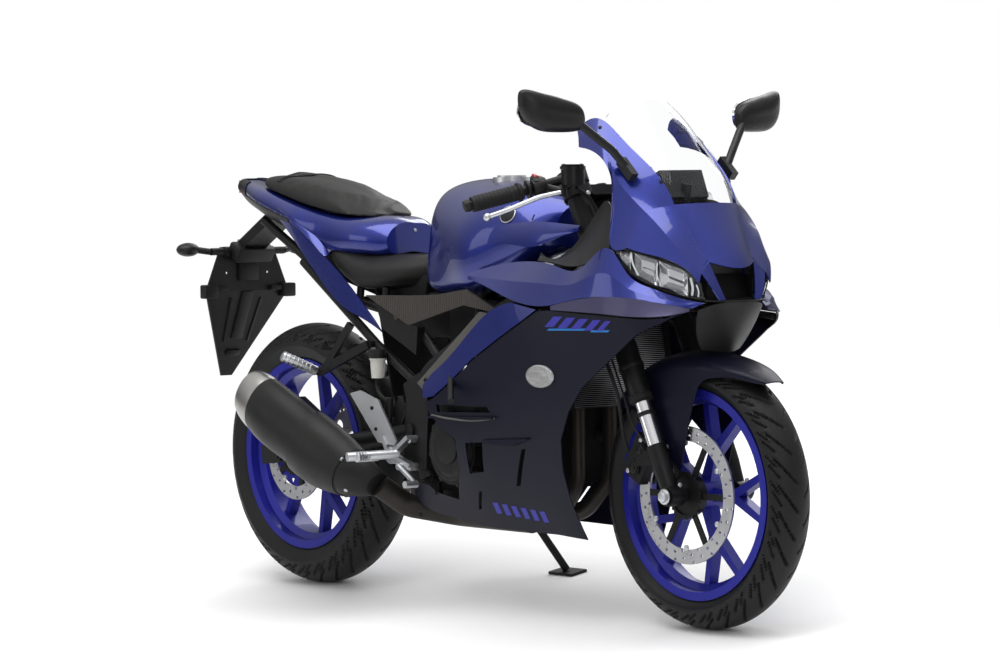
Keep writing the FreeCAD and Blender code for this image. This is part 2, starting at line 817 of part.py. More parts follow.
def front_fender():
    # a saddle over the tyre whose front lifts to a point and whose sides reach down as tongues by the fork feet
    rows = []
    for degrees, half_width, lift, drop, tongue in (
        (49, 26, 38, 6, 4), (55, 44, 30, 12, 6), (62, 59, 24, 18, 8), (70, 67.5, 20, 26, 16), (78, 71, 18, 32, 40),
        (85, 71.2, 18, 36, 150), (97, 71.2, 18, 38, 214), (112, 71.2, 18, 39, 200), (122, 70.6, 18, 38, 150),
        (132, 66, 18, 36, 40), (142, 58, 18, 32, 10),
    ):
        angle = math.radians(degrees)
        crown = value("front_tyre_radius") + lift
        row = []
        for share, fall in ((0.0, 0.0), (0.55, 0.16), (0.9, 0.5), (1.0, 1.0), (1.004, 1.0 + tongue / drop)):
            reach = crown - drop * fall
            row.append((
                front_axle.x + reach * math.cos(angle), half_width * share, front_axle.z + reach * math.sin(angle),
            ))
        rows.append(row)
    saddle = skin(both_sides(rows), value("cowl_wall"), front_axle, creases=(1, 7))
    spacer_x = fork_x(390) + 7.5
    spacers = [rod((spacer_x, side * 69.8, 390), (spacer_x, side * 75.7, 390), 7) for side in (-1, 1)]
    return joined([saddle] + spacers)


shape_part("front_fender", front_fender())


def caliper(disc_centre, disc_radius, angle_degrees, outward, inward):
    # a two-piston body that straddles the disc
    thickness = value("disc_thickness")
    slot = thickness + 2 * 5.5
    y_out = disc_centre.y - outward
    y_in = disc_centre.y + inward
    body = block((-30, y_out, -48), (32, y_in, 48))
    mouth = block((-31, disc_centre.y - slot / 2, -49), (16, disc_centre.y + slot / 2, 49))
    cups = [rod((0, y_out - 4, z), (0, y_out + 2, z), 17) for z in (-22, 22)]
    whole = joined([body.cut(mouth)] + cups)
    whole.translate(Vector(disc_radius - 10, 0, 0))
    whole.rotate(Vector(0, 0, 0), Vector(0, 1, 0), -angle_degrees)
    whole.translate(Vector(disc_centre.x, 0, disc_centre.z))
    return whole


def front_caliper():
    centre = front_axle + Vector(0, front_disc_y, 0)
    body = caliper(centre, value("front_disc_radius"), 148, 34, 16)
    lug = bar_between((fork_x(372) - 8, -fork_half + 4, 372), (front_axle.x - 118, -fork_half + 4, 368), 13, 34)
    leg = rod(on_fork(foot_top - 80), on_fork(foot_top + 60), value("fork_foot_radius") + 0.3)
    return joined([body, lug]).cut(leg)


shape_part("front_caliper", front_caliper())

# Frame, engine and what hangs on them
stand_pivot = Vector(-150, 132, 270)
stand_axis = Vector(0.013, 0.816, 0.577).normalize()
stand_eye_half = 6
stand_pin_radius = 6
pivot_bore = 9


def fairing_stay():
    # the bracket ahead of the steering head that carries the nose, the instrument and the lamps
    root = Vector(*on_steering(858)) + forward_of_axis * 26
    tip = Vector(618, 0, 890)
    pieces = [bar_between(tuple(root), tuple(tip + Vector(8, 0, 0)), 34, 30)]
    pieces.append(up_to(rod(tuple(tip), (tip.x + 14, 0, 960), 10), instrument_shape))
    pieces.append(up_to(rod(tuple(tip), (724, 0, 775), 9), duct_shape))
    for side in (-1, 1):
        arm = rod(tuple(tip), (tip.x, side * 230, tip.z - 4), 8)
        pieces.append(up_to(arm, nose_shape))
        pieces.append(up_to(rod((tip.x, side * 80, tip.z), (690, side * 140, 770), 7), unit_shape))
        cowl = right_cowl if side < 0 else left_cowl
        upper = right_upper if side < 0 else mirrored(right_upper)
        pieces.append(up_to(rod((130, side * 130, 668), (190, side * 230, 640), 7), cowl, strip_shape))
        pieces.append(up_to(rod((-30, side * 128, 580), (110, side * 240, 480), 7), cowl, strip_shape))
        pieces.append(up_to(rod((288, side * 104, 655), (460, side * 240, 640), 7), cowl))
        pieces.append(up_to(rod((288, side * 104, 655), (400, side * 230, 745), 7), upper))
    return pieces


PIVOT_PLATE = [
    (-180, 504), (-117, 534), (-92, 489), (-90, 430), (-94, 379), (-98, 312), (-178, 312), (-179, 375), (-170, 468),
]
TRIANGLE_PLATE = [(-287, 698), (-255, 628), (-133, 572), (-126, 636)]
cup_base = Vector(-283, -140, 514)
cup_radius = 18
cup_height = 42


def frame():
    radius = value("frame_tube_radius")
    head_low = lower_clamp + steering_direction * (lower_clamp_depth / 2 + bearing_gap)
    head_high = upper_clamp - steering_direction * (upper_clamp_depth / 2 + bearing_gap)
    pieces = [rod(tuple(head_low), tuple(head_high), 30)]
    for side in (-1, 1):
        pieces.append(pipe([
            (steering_x(850) - 12, side * 12, 850), (250, side * 108, 728), (130, side * 128, 668),
            (-90, side * 128, 545), (-140, side * 128, 500), (value("pivot_x"), side * 128, value("pivot_z")),
            (-112, side * 128, 290),
        ], radius, 80))
        pieces.append(pipe([
            (steering_x(848) - 14, side * 8, 848), (345, side * 62, 738), (290, side * 104, 655),
            (200, side * 124, 560),
        ], 14, 60))
        pieces.append(pipe([
            (-60, side * 128, 560), (-190, side * 112, 655), (-420, side * 100, 690), (-830, side * 60, 875),
        ], value("subframe_tube_radius"), 80))
        pieces.append(pipe([
            (-142, side * 128, 500), (-330, side * 106, 590), (-640, side * 84, 778),
        ], value("subframe_tube_radius"), 80))
        pieces.append(plate(PIVOT_PLATE, side * 137.5 - 9.5, 19))
        pieces.append(plate(TRIANGLE_PLATE, side * 135 - 11, 22))
    pieces.append(rod(tuple(cup_base + Vector(0, 0, 30)), (cup_base.x, -111.5, cup_base.z + 53), 6))
    for x, z in ((-148, 487), (-112, 292)):
        pieces.append(rod((x, -128, z), (x, 128, z), 14))
    pieces.append(rod((-420, -100, 690), (-420, 100, 690), 9))
    pieces.append(rod((-700, -74, 817), (-700, 74, 817), 9))
    for side in (-1, 1):
        for x, y, z in ((-300, 104, 672), (-400, 100, 690)):
            pieces.append(rod((x, side * y, z), (x, side * (y - 6), z + 60), 9))
    inner_end = stand_pivot - stand_axis * 30
    pieces.append(rod(tuple(inner_end), tuple(stand_pivot - stand_axis * (stand_eye_half + 0.4)), 15))
    pieces.append(rod(tuple(inner_end), tuple(stand_pivot + stand_axis * (stand_eye_half + 2)), stand_pin_radius))
    pieces.append(rod(
        tuple(stand_pivot + stand_axis * (stand_eye_half + 0.4)), tuple(stand_pivot + stand_axis * (stand_eye_half + 5)), 10,
    ))
    pieces.append(rod(tuple(inner_end), (-112, 105, 292), 10))
    pieces += fairing_stay()
    for side in (-1, 1):
        pieces.append(up_to(rod((200, side * 126, 560), (200, side * 60, 560), 11), engine_shape))
        pieces.append(up_to(rod((-112, side * 56, 292), (-60, side * 56, 330), 9), engine_shape))
        pieces.append(up_to(rod((-148, side * 50, 487), (-70, side * 50, 420), 9), engine_shape))
        pieces.append(up_to(rod((-600, side * 83, 756), (-600, side * 83, 940), 8), tail_shape))
        pieces.append(up_to(rod((60, side * 126, 632), (60, side * 96, 760), 9), fuel_tank_shape))
    whole = joined(pieces)
    bed = front_seat_shape.copy()
    bed.translate(Vector(0, 0, -0.3))
    whole = main_piece(whole.cut(bed).cut(cup_shape))
    stem = rod(
        tuple(head_low - steering_direction * 5), tuple(head_high + steering_direction * 5), stem_radius + bearing_gap,
    )
    bore = rod((pivot.x, -200, pivot.z), (pivot.x, 200, pivot.z), pivot_bore)
    return whole.cut(stem).cut(bore)


def engine():
    crankcase = block((-95, -105, 262), (190, 66, 440))
    front_case = block((0, 60, 275), (190, 105, 430))
    cylinders = bar_between((110, 0, 420), (190, 0, 640), 190, 170, up=(1, 0, 0))
    clutch = rod((10, -104, 365), (10, -158, 365), 82)
    alternator = rod((90, 104, 360), (90, 150, 360), 66)
    sump = block((-40, -80, 232), (110, 60, 263))
    output = rod(tuple(drive_centre - Vector(0, 30, 0)), tuple(drive_centre + Vector(0, 9, 0)), 12)
    teeth = rod(
        tuple(drive_centre - Vector(0, sprocket_thickness / 2, 0)), tuple(drive_centre + Vector(0, sprocket_thickness / 2, 0)),
        drive_radius - value("roller_radius") - 0.3,
    )
    return joined([crankcase, front_case, cylinders, clutch, alternator, sump, output, teeth])


engine_shape = engine()
shape_part("engine", engine_shape)


def swingarm():
    radius = value("axle_radius")
    pieces = [rod((pivot.x, -108.7, pivot.z), (pivot.x, 108.7, pivot.z), 24)]
    pieces.append(rod((pivot.x, -150, pivot.z), (pivot.x, 150, pivot.z), pivot_bore - 0.3))
    for side in (-1, 1):
        pieces.append(rod((pivot.x, side * 147.3, pivot.z), (pivot.x, side * 153, pivot.z), 15))
    for side in (-1, 1):
        pieces.append(pipe([
            (pivot.x - 10, side * 54, pivot.z - 2), (pivot.x - 130, side * 58, pivot.z - 18),
            (pivot.x - 250, side * 108, pivot.z - 40), (rear_axle.x + 120, side * 113, rear_axle.z + 16),
        ], 21, 80))
        pieces.append(bar_between(
            (rear_axle.x + 150, side * 113, rear_axle.z + 18), (rear_axle.x - 72, side * 113, rear_axle.z - 2), 24, 46,
        ))
    pieces.append(block((pivot.x - 104, -60, pivot.z - 40), (pivot.x - 74, 60, pivot.z + 10)))
    pieces.append(block((pivot.x - 92, -16, pivot.z + 4), (pivot.x - 62, 16, pivot.z + 34)))
    pieces.append(rod((rear_axle.x, -138, rear_axle.z), (rear_axle.x, 138, rear_axle.z), radius))
    for side in (-1, 1):
        pieces.append(rod((rear_axle.x, side * 124, rear_axle.z), (rear_axle.x, side * 134, rear_axle.z), 15))
        collar = value("chain_line") + sprocket_thickness / 2 + 1
        pieces.append(rod((rear_axle.x, side * collar, rear_axle.z), (rear_axle.x, side * 112, rear_axle.z), 13))
    whole = joined(pieces)
    for side in (-1, 1):
        mouth = Vector(spool_at.x, side * spool_at.y, spool_at.z)
        inner = mouth - Vector(0, side * value("spool_depth"), 0)
        whole = whole.cut(rod(tuple(mouth), tuple(inner), value("spool_radius")))
    return whole


spool_at = Vector(rear_axle.x + 52, 125, rear_axle.z + 6)
swingarm_shape = swingarm()
shape_part("swingarm", swingarm_shape)

shock_top = Vector(-152, 0, 600)
shock_foot = Vector(-231, 0, 446)


def shock():
    down = (shock_foot - shock_top).normalize()
    return joined([
        rod(tuple(shock_top + down * 6), tuple(shock_foot - down * 6), 12),
        rod(tuple(shock_top + down * 24), tuple(shock_foot - down * 26), 29),
        rod(tuple(shock_top - Vector(0, 18, 0)), tuple(shock_top + Vector(0, 18, 0)), 14),
        rod(tuple(shock_foot - Vector(0, 15, 0)), tuple(shock_foot + Vector(0, 15, 0)), 13),
    ])


shape_part("shock", shock())


def exhaust_headers():
    pieces = []
    for y in (-48, 48):
        pieces.append(pipe([
            (236, y, 584), (318, y, 500), (318, y, 300), (250, y * 0.7, 225), (130, -30, 200),
        ], 17, 70))
    pieces.append(pipe([(140, -30, 200), (-120, -30, 200), (-205, -120, 222), (-222, -186, 270)], 27, 60))
    return up_to(joined(pieces), engine_shape)


exhaust_shape = exhaust_headers()
shape_part("exhaust_headers", exhaust_shape)


def muffler_section(centre, direction, width, height):
    direction = Vector(*direction).normalize()
    side = Vector(0, 1, 0)
    rise = side.cross(direction).normalize() * -1
    points = []
    for k in range(12):
        angle = 2 * math.pi * k / 12
        points.append(tuple(
            Vector(*centre) + side * (width / 2 * math.cos(angle)) + rise * (height / 2 * math.sin(angle))
        ))
    return points


def muffler():
    direction = (-300, 0, 150)
    body = shaped([
        muffler_section((-226, -190, 272), (-100, -60, 60), 58, 60),
        muffler_section((-272, -213, 292), direction, 90, 108),
        muffler_section((-370, -222, 330), direction, 106, 138),
        muffler_section((-520, -228, 398), direction, 112, 150),
        muffler_section((-610, -228, 442), direction, 104, 142),
    ])
    guard = shaped([
        muffler_section((-290, -216, 298), direction, 104, 122),
        muffler_section((-350, -222, 322), direction, 120, 152),
        muffler_section((-438, -226, 361), direction, 126, 162),
    ])
    return joined([body, guard])


shape_part("muffler", up_to(muffler(), exhaust_shape))
shape_part("muffler_tip", shaped([
    muffler_section((-610.4, -228, 442.2), (-300, 0, 150), 104, 142),
    muffler_section((-640, -228, 457), (-300, 0, 150), 98, 136),
    muffler_section((-665, -228, 469), (-300, 0, 150), 84, 120),
]))


def radiator():
    stays = [rod((372, side * 120, 640), (285, side * 104, 650), 6) for side in (-1, 1)]
    low = (398, 0, 470)
    high = (376, 0, 660)
    core = bar_between(low, high, 280, 24, up=(1, 0, 0))
    tanks = []
    for side in (-1, 1):
        tanks.append(bar_between((398, side * 148, 468), (376, side * 148, 662), 18, 34, up=(1, 0, 0)))
    return up_to(joined([core] + tanks + stays), frame_shape)

# Bodywork
wall = value("cowl_wall")


def lamp_pod(centre, length, height, depth):
    pod = Part.makeSphere(1, Vector(0, 0, 0))
    matrix = FreeCAD.Matrix()
    matrix.scale(depth / 2, length / 2, height / 2)
    pod = pod.transformGeometry(matrix)
    pod.translate(Vector(*centre))
    return pod


NOSE_ROWS = [
    [(797, 0, 781), (771, 65, 795), (778, 95, 768), (782, 104, 748)],
    [(773, 0, 825), (745, 72, 832), (742, 122, 818), (751, 132, 790)],
    [(742, 0, 872), (715, 82, 880), (705, 137, 862), (700, 162, 810)],
    [(711, 0, 920), (690, 91, 917), (655, 146, 905), (640, 183, 826)],
]
ARM_ROWS = [
    [(690, 91, 917), (655, 146, 905), (640, 183, 826)],
    [(640, 100, 987), (600, 155, 952), (594, 190, 837)],
    [(569, 108, 1041), (574, 158, 985), (592, 181, 899)],
    [(485, 112, 1100), (520, 146, 1055), (566, 168, 992)],
    [(425, 134, 1080), (438, 142, 1062), (448, 150, 1042)],
]


BLADE_ROWS = [
    [(767, 66, 803), (773, 94, 776)],
    [(785, 55, 756), (790, 78, 744)],
    [(798, 42, 714), (799, 60, 714)],
]


def nose_cowl():
    centre = skin(both_sides(NOSE_ROWS), wall, creases=(1, 2, 4, 5))
    arm = skin([right_side(row) for row in ARM_ROWS], wall, creases=(1,))
    blade = skin([right_side(row) for row in BLADE_ROWS], wall)
    return joined([centre, arm, mirrored(arm), blade, mirrored(blade)])


nose_shape = nose_cowl()
shape_part("nose_cowl", nose_shape)
shape_part("windscreen", up_to(skin(both_sides([
    [(712, 0, 914), (704, 52, 914), (688, 96, 910)],
    [(665, 0, 985), (658, 58, 984), (633, 104, 984)],
    [(613, 0, 1046), (604, 62, 1042), (563, 112, 1040)],
    [(565, 0, 1102), (555, 64, 1096), (499, 114, 1086)],
    [(524, 0, 1146), (515, 50, 1138), (480, 88, 1116)],
]), value("screen_wall"), Vector(400, 0, 900)), nose_shape))

LENS_ROWS = [
    [(604, 190, 824), (606, 191, 818), (608, 191, 812)],
    [(648, 181, 820), (652, 184, 795), (650, 182, 770)],
    [(700, 161, 806), (704, 162, 775), (697, 158, 743)],
    [(751, 130, 786), (752, 132, 755), (742, 122, 724)],
    [(783, 102, 745), (783, 96, 728), (780, 88, 712)],
]


def sunk(rows, depth):
    # the same rows, moved inwards from the body's surface
    grid = [[Vector(*p) for p in row] for row in rows]
    return [[tuple(p) for p in row] for row in inner_grid(grid, depth, body_core)]


def headlight_lenses():
    lens = skin(sunk([right_side(row) for row in LENS_ROWS], wall + 2.5), wall)
    return Part.makeCompound([lens, mirrored(lens)])


def headlight_units():
    unit = skin(sunk([right_side(row) for row in LENS_ROWS[1:]], 2 * wall + 3.2), 30)
    return Part.makeCompound([unit, mirrored(unit)])


shape_part("headlight_lenses", headlight_lenses())
unit_shape = headlight_units()
shape_part("headlight_units", unit_shape)


def nose_duct():
    chin = skin(both_sides([
        [(800, 0, 708), (800, 38, 708), (765, 92, 692)],
        [(789, 0, 665), (782, 34, 664), (750, 84, 655)],
        [(758, 0, 600), (752, 22, 601), (735, 56, 606)],
    ]), wall)
    floor_rows = [[(798, 0, 712), (797, 38, 712), (780, 86, 714)], [(720, 0, 722), (720, 36, 722), (715, 60, 724)]]
    shelf = skin(both_sides(floor_rows), wall, Vector(760, 0, 600))
    back = plate([(716, 720), (724, 720), (742, 800), (735, 800)], -62, 124)
    return joined([chin, shelf, back])


duct_shape = nose_duct()
shape_part("nose_duct", duct_shape)

UPPER_ROWS = [
    [(95, 168, 764), (92, 174, 757), (90, 173, 750)],
    [(200, 158, 786), (190, 182, 752), (200, 194, 729)],
    [(300, 163, 792), (300, 196, 748), (295, 209, 706)],
    [(410, 184, 783), (410, 206, 745), (412, 219, 698)],
    [(500, 193, 780), (500, 211, 748), (505, 220, 713)],
    [(598, 192, 822), (604, 207, 770), (607, 214, 721)],
    [(648, 183, 766), (655, 194, 740), (660, 201, 717)],
    [(697, 160, 739), (705, 174, 724), (712, 179, 712)],
    [(740, 126, 720), (744, 140, 711), (745, 146, 704)],
    [(778, 86, 708), (772, 96, 703), (765, 108, 697)],
]
ACCENT_ROWS = [
    [(430, 220, 698), (430, 219, 689)],
    [(520, 220, 714), (520, 217, 687)],
    [(612, 213, 721), (605, 214, 684)],
    [(712, 178, 713), (701, 197, 680)],
    [(745, 145, 704), (746, 166, 683)],
    [(762, 112, 697), (763, 116, 691)],
]
SIDE_ROWS = [
    [(-260, 172, 500), (-260, 165, 400), (-260, 145, 300), (-260, 105, 225)],
    [(-60, 182, 520), (-60, 186, 420), (-60, 165, 310), (-60, 118, 205)],
    [(65, 192, 590), (65, 196, 460), (65, 182, 330), (65, 120, 185)],
    [(200, 203, 680), (200, 202, 520), (200, 186, 360), (200, 118, 180)],
    [(330, 216, 705), (330, 204, 560), (330, 184, 380), (330, 114, 180)],
    [(430, 221, 705), (430, 203, 570), (430, 183, 400), (430, 110, 178)],
    [(530, 219, 705), (530, 202, 590), (530, 182, 440), (530, 150, 300)],
    [(620, 213, 705), (620, 197, 620), (620, 180, 510), (620, 165, 400)],
    [(700, 199, 705), (700, 186, 640), (700, 172, 570), (700, 156, 480)],
    [(745, 172, 705), (745, 160, 670), (745, 145, 620), (745, 130, 560)],
    [(772, 118, 705), (772, 112, 680), (772, 104, 640), (772, 95, 600)],
]
COWL_OUTLINE = [
    (758, 684), (734, 666), (679, 641), (612, 596), (557, 558), (503, 522), (455, 468), (420, 405), (410, 340),
    (412, 274), (424, 182), (334, 188), (132, 190), (-44, 206), (-100, 207), (-148, 226), (-160, 256), (-132, 278),
    (-84, 278), (-60, 262), (28, 250), (65, 321), (64, 389), (8, 420), (-31, 441), (-47, 469), (-17, 479), (52, 517),
    (134, 569), (240, 621), (377, 684), (413, 688), (587, 680), (699, 674), (744, 677), (757, 686),
]
STRIP_OUTLINE = [
    (377, 689), (240, 626), (134, 574), (52, 522), (-17, 484), (-58, 478), (-62, 507), (36, 586), (114, 641),
    (189, 685), (262, 706),
]
COWL_VENTS = [
    [(100, 384), (160, 388), (149, 321), (99, 314)],
    [(287, 378), (302, 380), (262, 296), (246, 293)],
    [(113, 274), (125, 275), (101, 232), (90, 231)],
    [(0, 449), (198, 456), (186, 468), (-6, 466)],
]
STAND_NOTCH = [(-400, 150), (-14, 150), (8, 240), (-30, 300), (-400, 300)]
LEDGE = [(164, 394), (323, 403), (268, 385), (164, 386)]


def side_cowl():
    panel = skin([right_side(row) for row in SIDE_ROWS], wall)
    panel = trimmed(panel, COWL_OUTLINE, -300, 0)
    for vent in COWL_VENTS:
        panel = panel.cut(plate(vent, -300, 300))
    shelf = bar_between((-34, -185, 436), (212, -199, 444), 18, 5)
    ledge = plate(LEDGE, -196, 12)
    return joined([panel, shelf, ledge])


def upper_panel():
    return skin([right_side(row) for row in UPPER_ROWS], wall, creases=(1,))


def accent_panel():
    return skin([right_side(row) for row in ACCENT_ROWS], wall)


signal_at = (373, 203, 543)


def signal_pod(grow):
    return lamp_pod((signal_at[0], -signal_at[1], signal_at[2]), 20 + grow, 50 + grow, 92 + grow)


right_upper = upper_panel()
right_accent = up_to(accent_panel(), right_upper)
accent_bed = right_accent.copy()
accent_bed.translate(Vector(0, 0, -0.3))
right_cowl = up_to(side_cowl(), signal_pod(0.6), accent_bed)
left_cowl = main_piece(mirrored(right_cowl).cut(plate(STAND_NOTCH, 0, 400)))
shape_part("side_cowl_right", right_cowl)
shape_part("side_cowl_left", left_cowl)
shape_part("upper_panels", Part.makeCompound([right_upper, mirrored(right_upper)]))
shape_part("accent_panels", Part.makeCompound([right_accent, mirrored(right_accent)]))


def edge_strips():
    strip = trimmed(skin([right_side(row) for row in SIDE_ROWS], wall), STRIP_OUTLINE, -300, 0)
    return Part.makeCompound([strip, mirrored(strip)])


strip_shape = edge_strips()
shape_part("edge_strips", strip_shape)


def inner_panels():
    panel = skin([right_side(row) for row in (
        [(578, 167, 900), (588, 184, 840), (590, 190, 820)],
        [(540, 150, 925), (545, 172, 850), (535, 190, 797)],
        [(485, 128, 905), (485, 152, 840), (480, 186, 785)],
        [(412, 142, 822), (412, 152, 806), (412, 180, 788)],
        [(330, 160, 812), (330, 164, 803), (330, 170, 795)],
    )], wall)
    return Part.makeCompound([panel, mirrored(panel)])


shape_part("inner_panels", inner_panels())


tank_top = 975
cap_x = 40
cap_base = tank_top - 11
cap_radius = 43
TANK_SECTIONS = [
    (-168, [(0, 42), (40, 50), (64, 95), (72, 160), (60, 205), (0, 210)]),
    (-130, [(0, 15), (62, 40), (94, 98), (104, 178), (110, 238), (0, 252)]),
    (-50, [(0, 2), (85, 42), (125, 105), (132, 182), (126, 252), (0, 266)]),
    (50, [(0, 2), (100, 40), (148, 100), (160, 175), (140, 242), (0, 262)]),
    (140, [(0, 11), (105, 35), (148, 99), (152, 160), (136, 210), (0, 225)]),
    (220, [(0, 27), (92, 45), (134, 103), (138, 145), (120, 177), (0, 185)]),
    (288, [(0, 65), (50, 70), (74, 97), (78, 125), (64, 147), (0, 153)]),
]


def fuel_tank():
    sections = []
    for x, half in TANK_SECTIONS:
        sections.append(half_ring([(x, y, tank_top - depth) for y, depth in half]))
    recess = rod((cap_x, 0, cap_base), (cap_x, 0, cap_base + 60), cap_radius + 1)
    return shaped(sections).cut(recess)


fuel_tank_shape = fuel_tank()
shape_part("fuel_tank", fuel_tank_shape)


def tank_side_panels():
    panel = skin([right_side(row) for row in (
        [(130, 151, 870), (130, 154, 846), (130, 154, 826)],
        [(230, 145, 876), (230, 154, 852), (230, 156, 828)],
        [(300, 146, 880), (300, 158, 852), (300, 159, 824)],
        [(370, 140, 876), (370, 152, 858), (370, 153, 842)],
        [(430, 132, 872), (432, 138, 866), (434, 141, 860)],
    )], wall)
    panel = up_to(panel, fuel_tank_shape)
    return Part.makeCompound([panel, mirrored(panel)])


shape_part("tank_side_panels", tank_side_panels())
shape_part("tank_cap", joined([
    rod((cap_x, 0, cap_base + 0.3), (cap_x, 0, cap_base + 13), cap_radius),
    rod((cap_x, 0, cap_base + 13), (cap_x, 0, cap_base + 17), cap_radius - 10),
]))


def front_seat():
    sections = [
        [(-176, 0, 797), (-176, 44, 795), (-176, 64, 782), (-176, 68, 756), (-176, 56, 738), (-176, 0, 734)],
        [(-222, 0, 792), (-222, 64, 789), (-222, 94, 774), (-222, 98, 748), (-222, 80, 728), (-222, 0, 724)],
        [(-300, 0, 792), (-300, 85, 786), (-300, 122, 764), (-300, 124, 738), (-300, 100, 720), (-300, 0, 716)],
        [(-400, 0, 802), (-400, 92, 796), (-400, 128, 772), (-400, 128, 742), (-400, 104, 722), (-400, 0, 718)],
        [(-470, 0, 822), (-470, 88, 815), (-470, 118, 795), (-470, 118, 765), (-470, 96, 745), (-470, 0, 740)],
        [(-518, 0, 838), (-518, 70, 832), (-518, 98, 815), (-518, 98, 790), (-518, 80, 775), (-518, 0, 770)],
    ]
    return shaped([half_ring(half) for half in sections])


front_seat_shape = front_seat()
shape_part("front_seat", front_seat_shape)


def rear_seat():
    sections = [
        [(-395, 0, 895), (-395, 35, 894), (-395, 55, 889), (-395, 54, 884), (-395, 30, 882), (-395, 0, 882)],
        [(-460, 0, 926), (-460, 55, 922), (-460, 92, 906), (-460, 98, 892), (-460, 70, 888), (-460, 0, 888)],
        [(-540, 0, 952), (-540, 65, 946), (-540, 108, 924), (-540, 114, 904), (-540, 80, 900), (-540, 0, 900)],
        [(-620, 0, 968), (-620, 68, 962), (-620, 110, 940), (-620, 116, 920), (-620, 80, 917), (-620, 0, 917)],
        [(-720, 0, 980), (-720, 66, 975), (-720, 104, 958), (-720, 108, 943), (-720, 76, 940), (-720, 0, 940)],
        [(-800, 0, 985), (-800, 55, 981), (-800, 84, 970), (-800, 86, 960), (-800, 60, 958), (-800, 0, 958)],
        [(-835, 0, 983), (-835, 38, 980), (-835, 56, 974), (-835, 56, 968), (-835, 40, 966), (-835, 0, 966)],
    ]
    return shaped([half_ring(half) for half in sections])


rear_seat_shape = rear_seat()
shape_part("rear_seat", rear_seat_shape)


def tail_cowl():
    hump = shaped([half_ring(half) for half in (
        [(-325, 0, 872), (-325, 42, 868), (-325, 68, 850), (-325, 78, 824), (-325, 68, 806), (-325, 0, 804)],
        [(-388, 0, 888), (-388, 60, 884), (-388, 92, 868), (-388, 108, 834), (-388, 100, 808), (-388, 0, 804)],
        [(-460, 0, 890), (-460, 70, 887), (-460, 104, 874), (-460, 116, 848), (-460, 110, 808), (-460, 0, 800)],
        [(-540, 0, 898), (-540, 78, 897), (-540, 108, 888), (-540, 119, 856), (-540, 111, 816), (-540, 0, 806)],
        [(-620, 0, 914), (-620, 82, 913), (-620, 116, 906), (-620, 130, 874), (-620, 106, 852), (-620, 0, 848)],
        [(-720, 0, 937), (-720, 78, 936), (-720, 110, 930), (-720, 120, 906), (-720, 96, 872), (-720, 0, 862)],
        [(-800, 0, 955), (-800, 66, 954), (-800, 96, 948), (-800, 106, 926), (-800, 80, 892), (-800, 0, 880)],
        [(-862, 0, 966), (-862, 52, 965), (-862, 76, 958), (-862, 84, 940), (-862, 62, 908), (-862, 0, 900)],
        [(-940, 0, 976), (-940, 34, 975), (-940, 52, 968), (-940, 56, 956), (-940, 42, 942), (-940, 0, 938)],
    )])
    seat_bed = rear_seat_shape.copy()
    seat_bed.translate(Vector(0, 0, -0.4))
    front_bed = front_seat_shape.copy()
    front_bed.translate(Vector(0, 0, 0.6))
    return main_piece(hump.cut(seat_bed).cut(front_bed))


tail_shape = tail_cowl()


def tail_bands():
    band = skin([right_side(row) for row in (
        [(-770, 110, 944), (-755, 108, 912)],
        [(-640, 128, 880), (-600, 127, 812)],
        [(-527, 133, 812), (-480, 132, 712)],
        [(-430, 136, 752), (-410, 135, 672)],
        [(-365, 137, 703), (-345, 136, 650)],
        [(-300, 137, 648), (-272, 136, 620)],
    )], wall)
    tail_bed = tail_shape.copy()
    tail_bed.translate(Vector(0, -0.4, 0))
    band = up_to(band, tail_bed)
    return Part.makeCompound([band, mirrored(band)])


shape_part("tail_cowl", tail_shape)
shape_part("tail_bands", tail_bands())
shape_part("tail_lamp", block((-952, -46, 942), (-940.3, 46, 972)))


plate_hole = Vector(-985, 62, 745)


def plate_hanger():
    arm = bar_between((-834, 0, 890), (-985, 0, 802), 70, 26)
    cross = rod((-985, -110, 798), (-985, 110, 798), 9)
    top = Part.Face(Part.makePolygon([Vector(x, y, z) for x, y, z in (
        (-985, -80, 809), (-985, 80, 809), (-985, 125, 700), (-985, -125, 700), (-985, -80, 809))]))
    tip = Part.Face(Part.makePolygon([Vector(x, y, z) for x, y, z in (
        (-985, -125, 700), (-985, 125, 700), (-1078, 16, 487), (-1078, -16, 487), (-985, -125, 700))]))
    arm = up_to(arm, tail_shape)
    whole = joined([arm, cross, top.extrude(Vector(-5, 0, 0)), tip.extrude(Vector(-5, 0, 0))])
    for side in (-1, 1):
        hole = Vector(plate_hole.x, side * plate_hole.y, plate_hole.z)
        whole = whole.cut(rod(tuple(hole + Vector(3, 0, 0)), tuple(hole - Vector(8, 0, 0)), value("plate_bolt_radius")))
    return whole


shape_part("plate_hanger", plate_hanger())


shape_part("rear_signals", Part.makeCompound([
    joined([lamp_pod((-1000, side * 168, 804), 62, 34, 44), rod((-986, side * 112.7, 798), (-996, side * 145, 803), 8)])
    for side in (-1, 1)
]))
shape_part("front_signals", Part.makeCompound([signal_pod(0), mirrored(signal_pod(0))]))


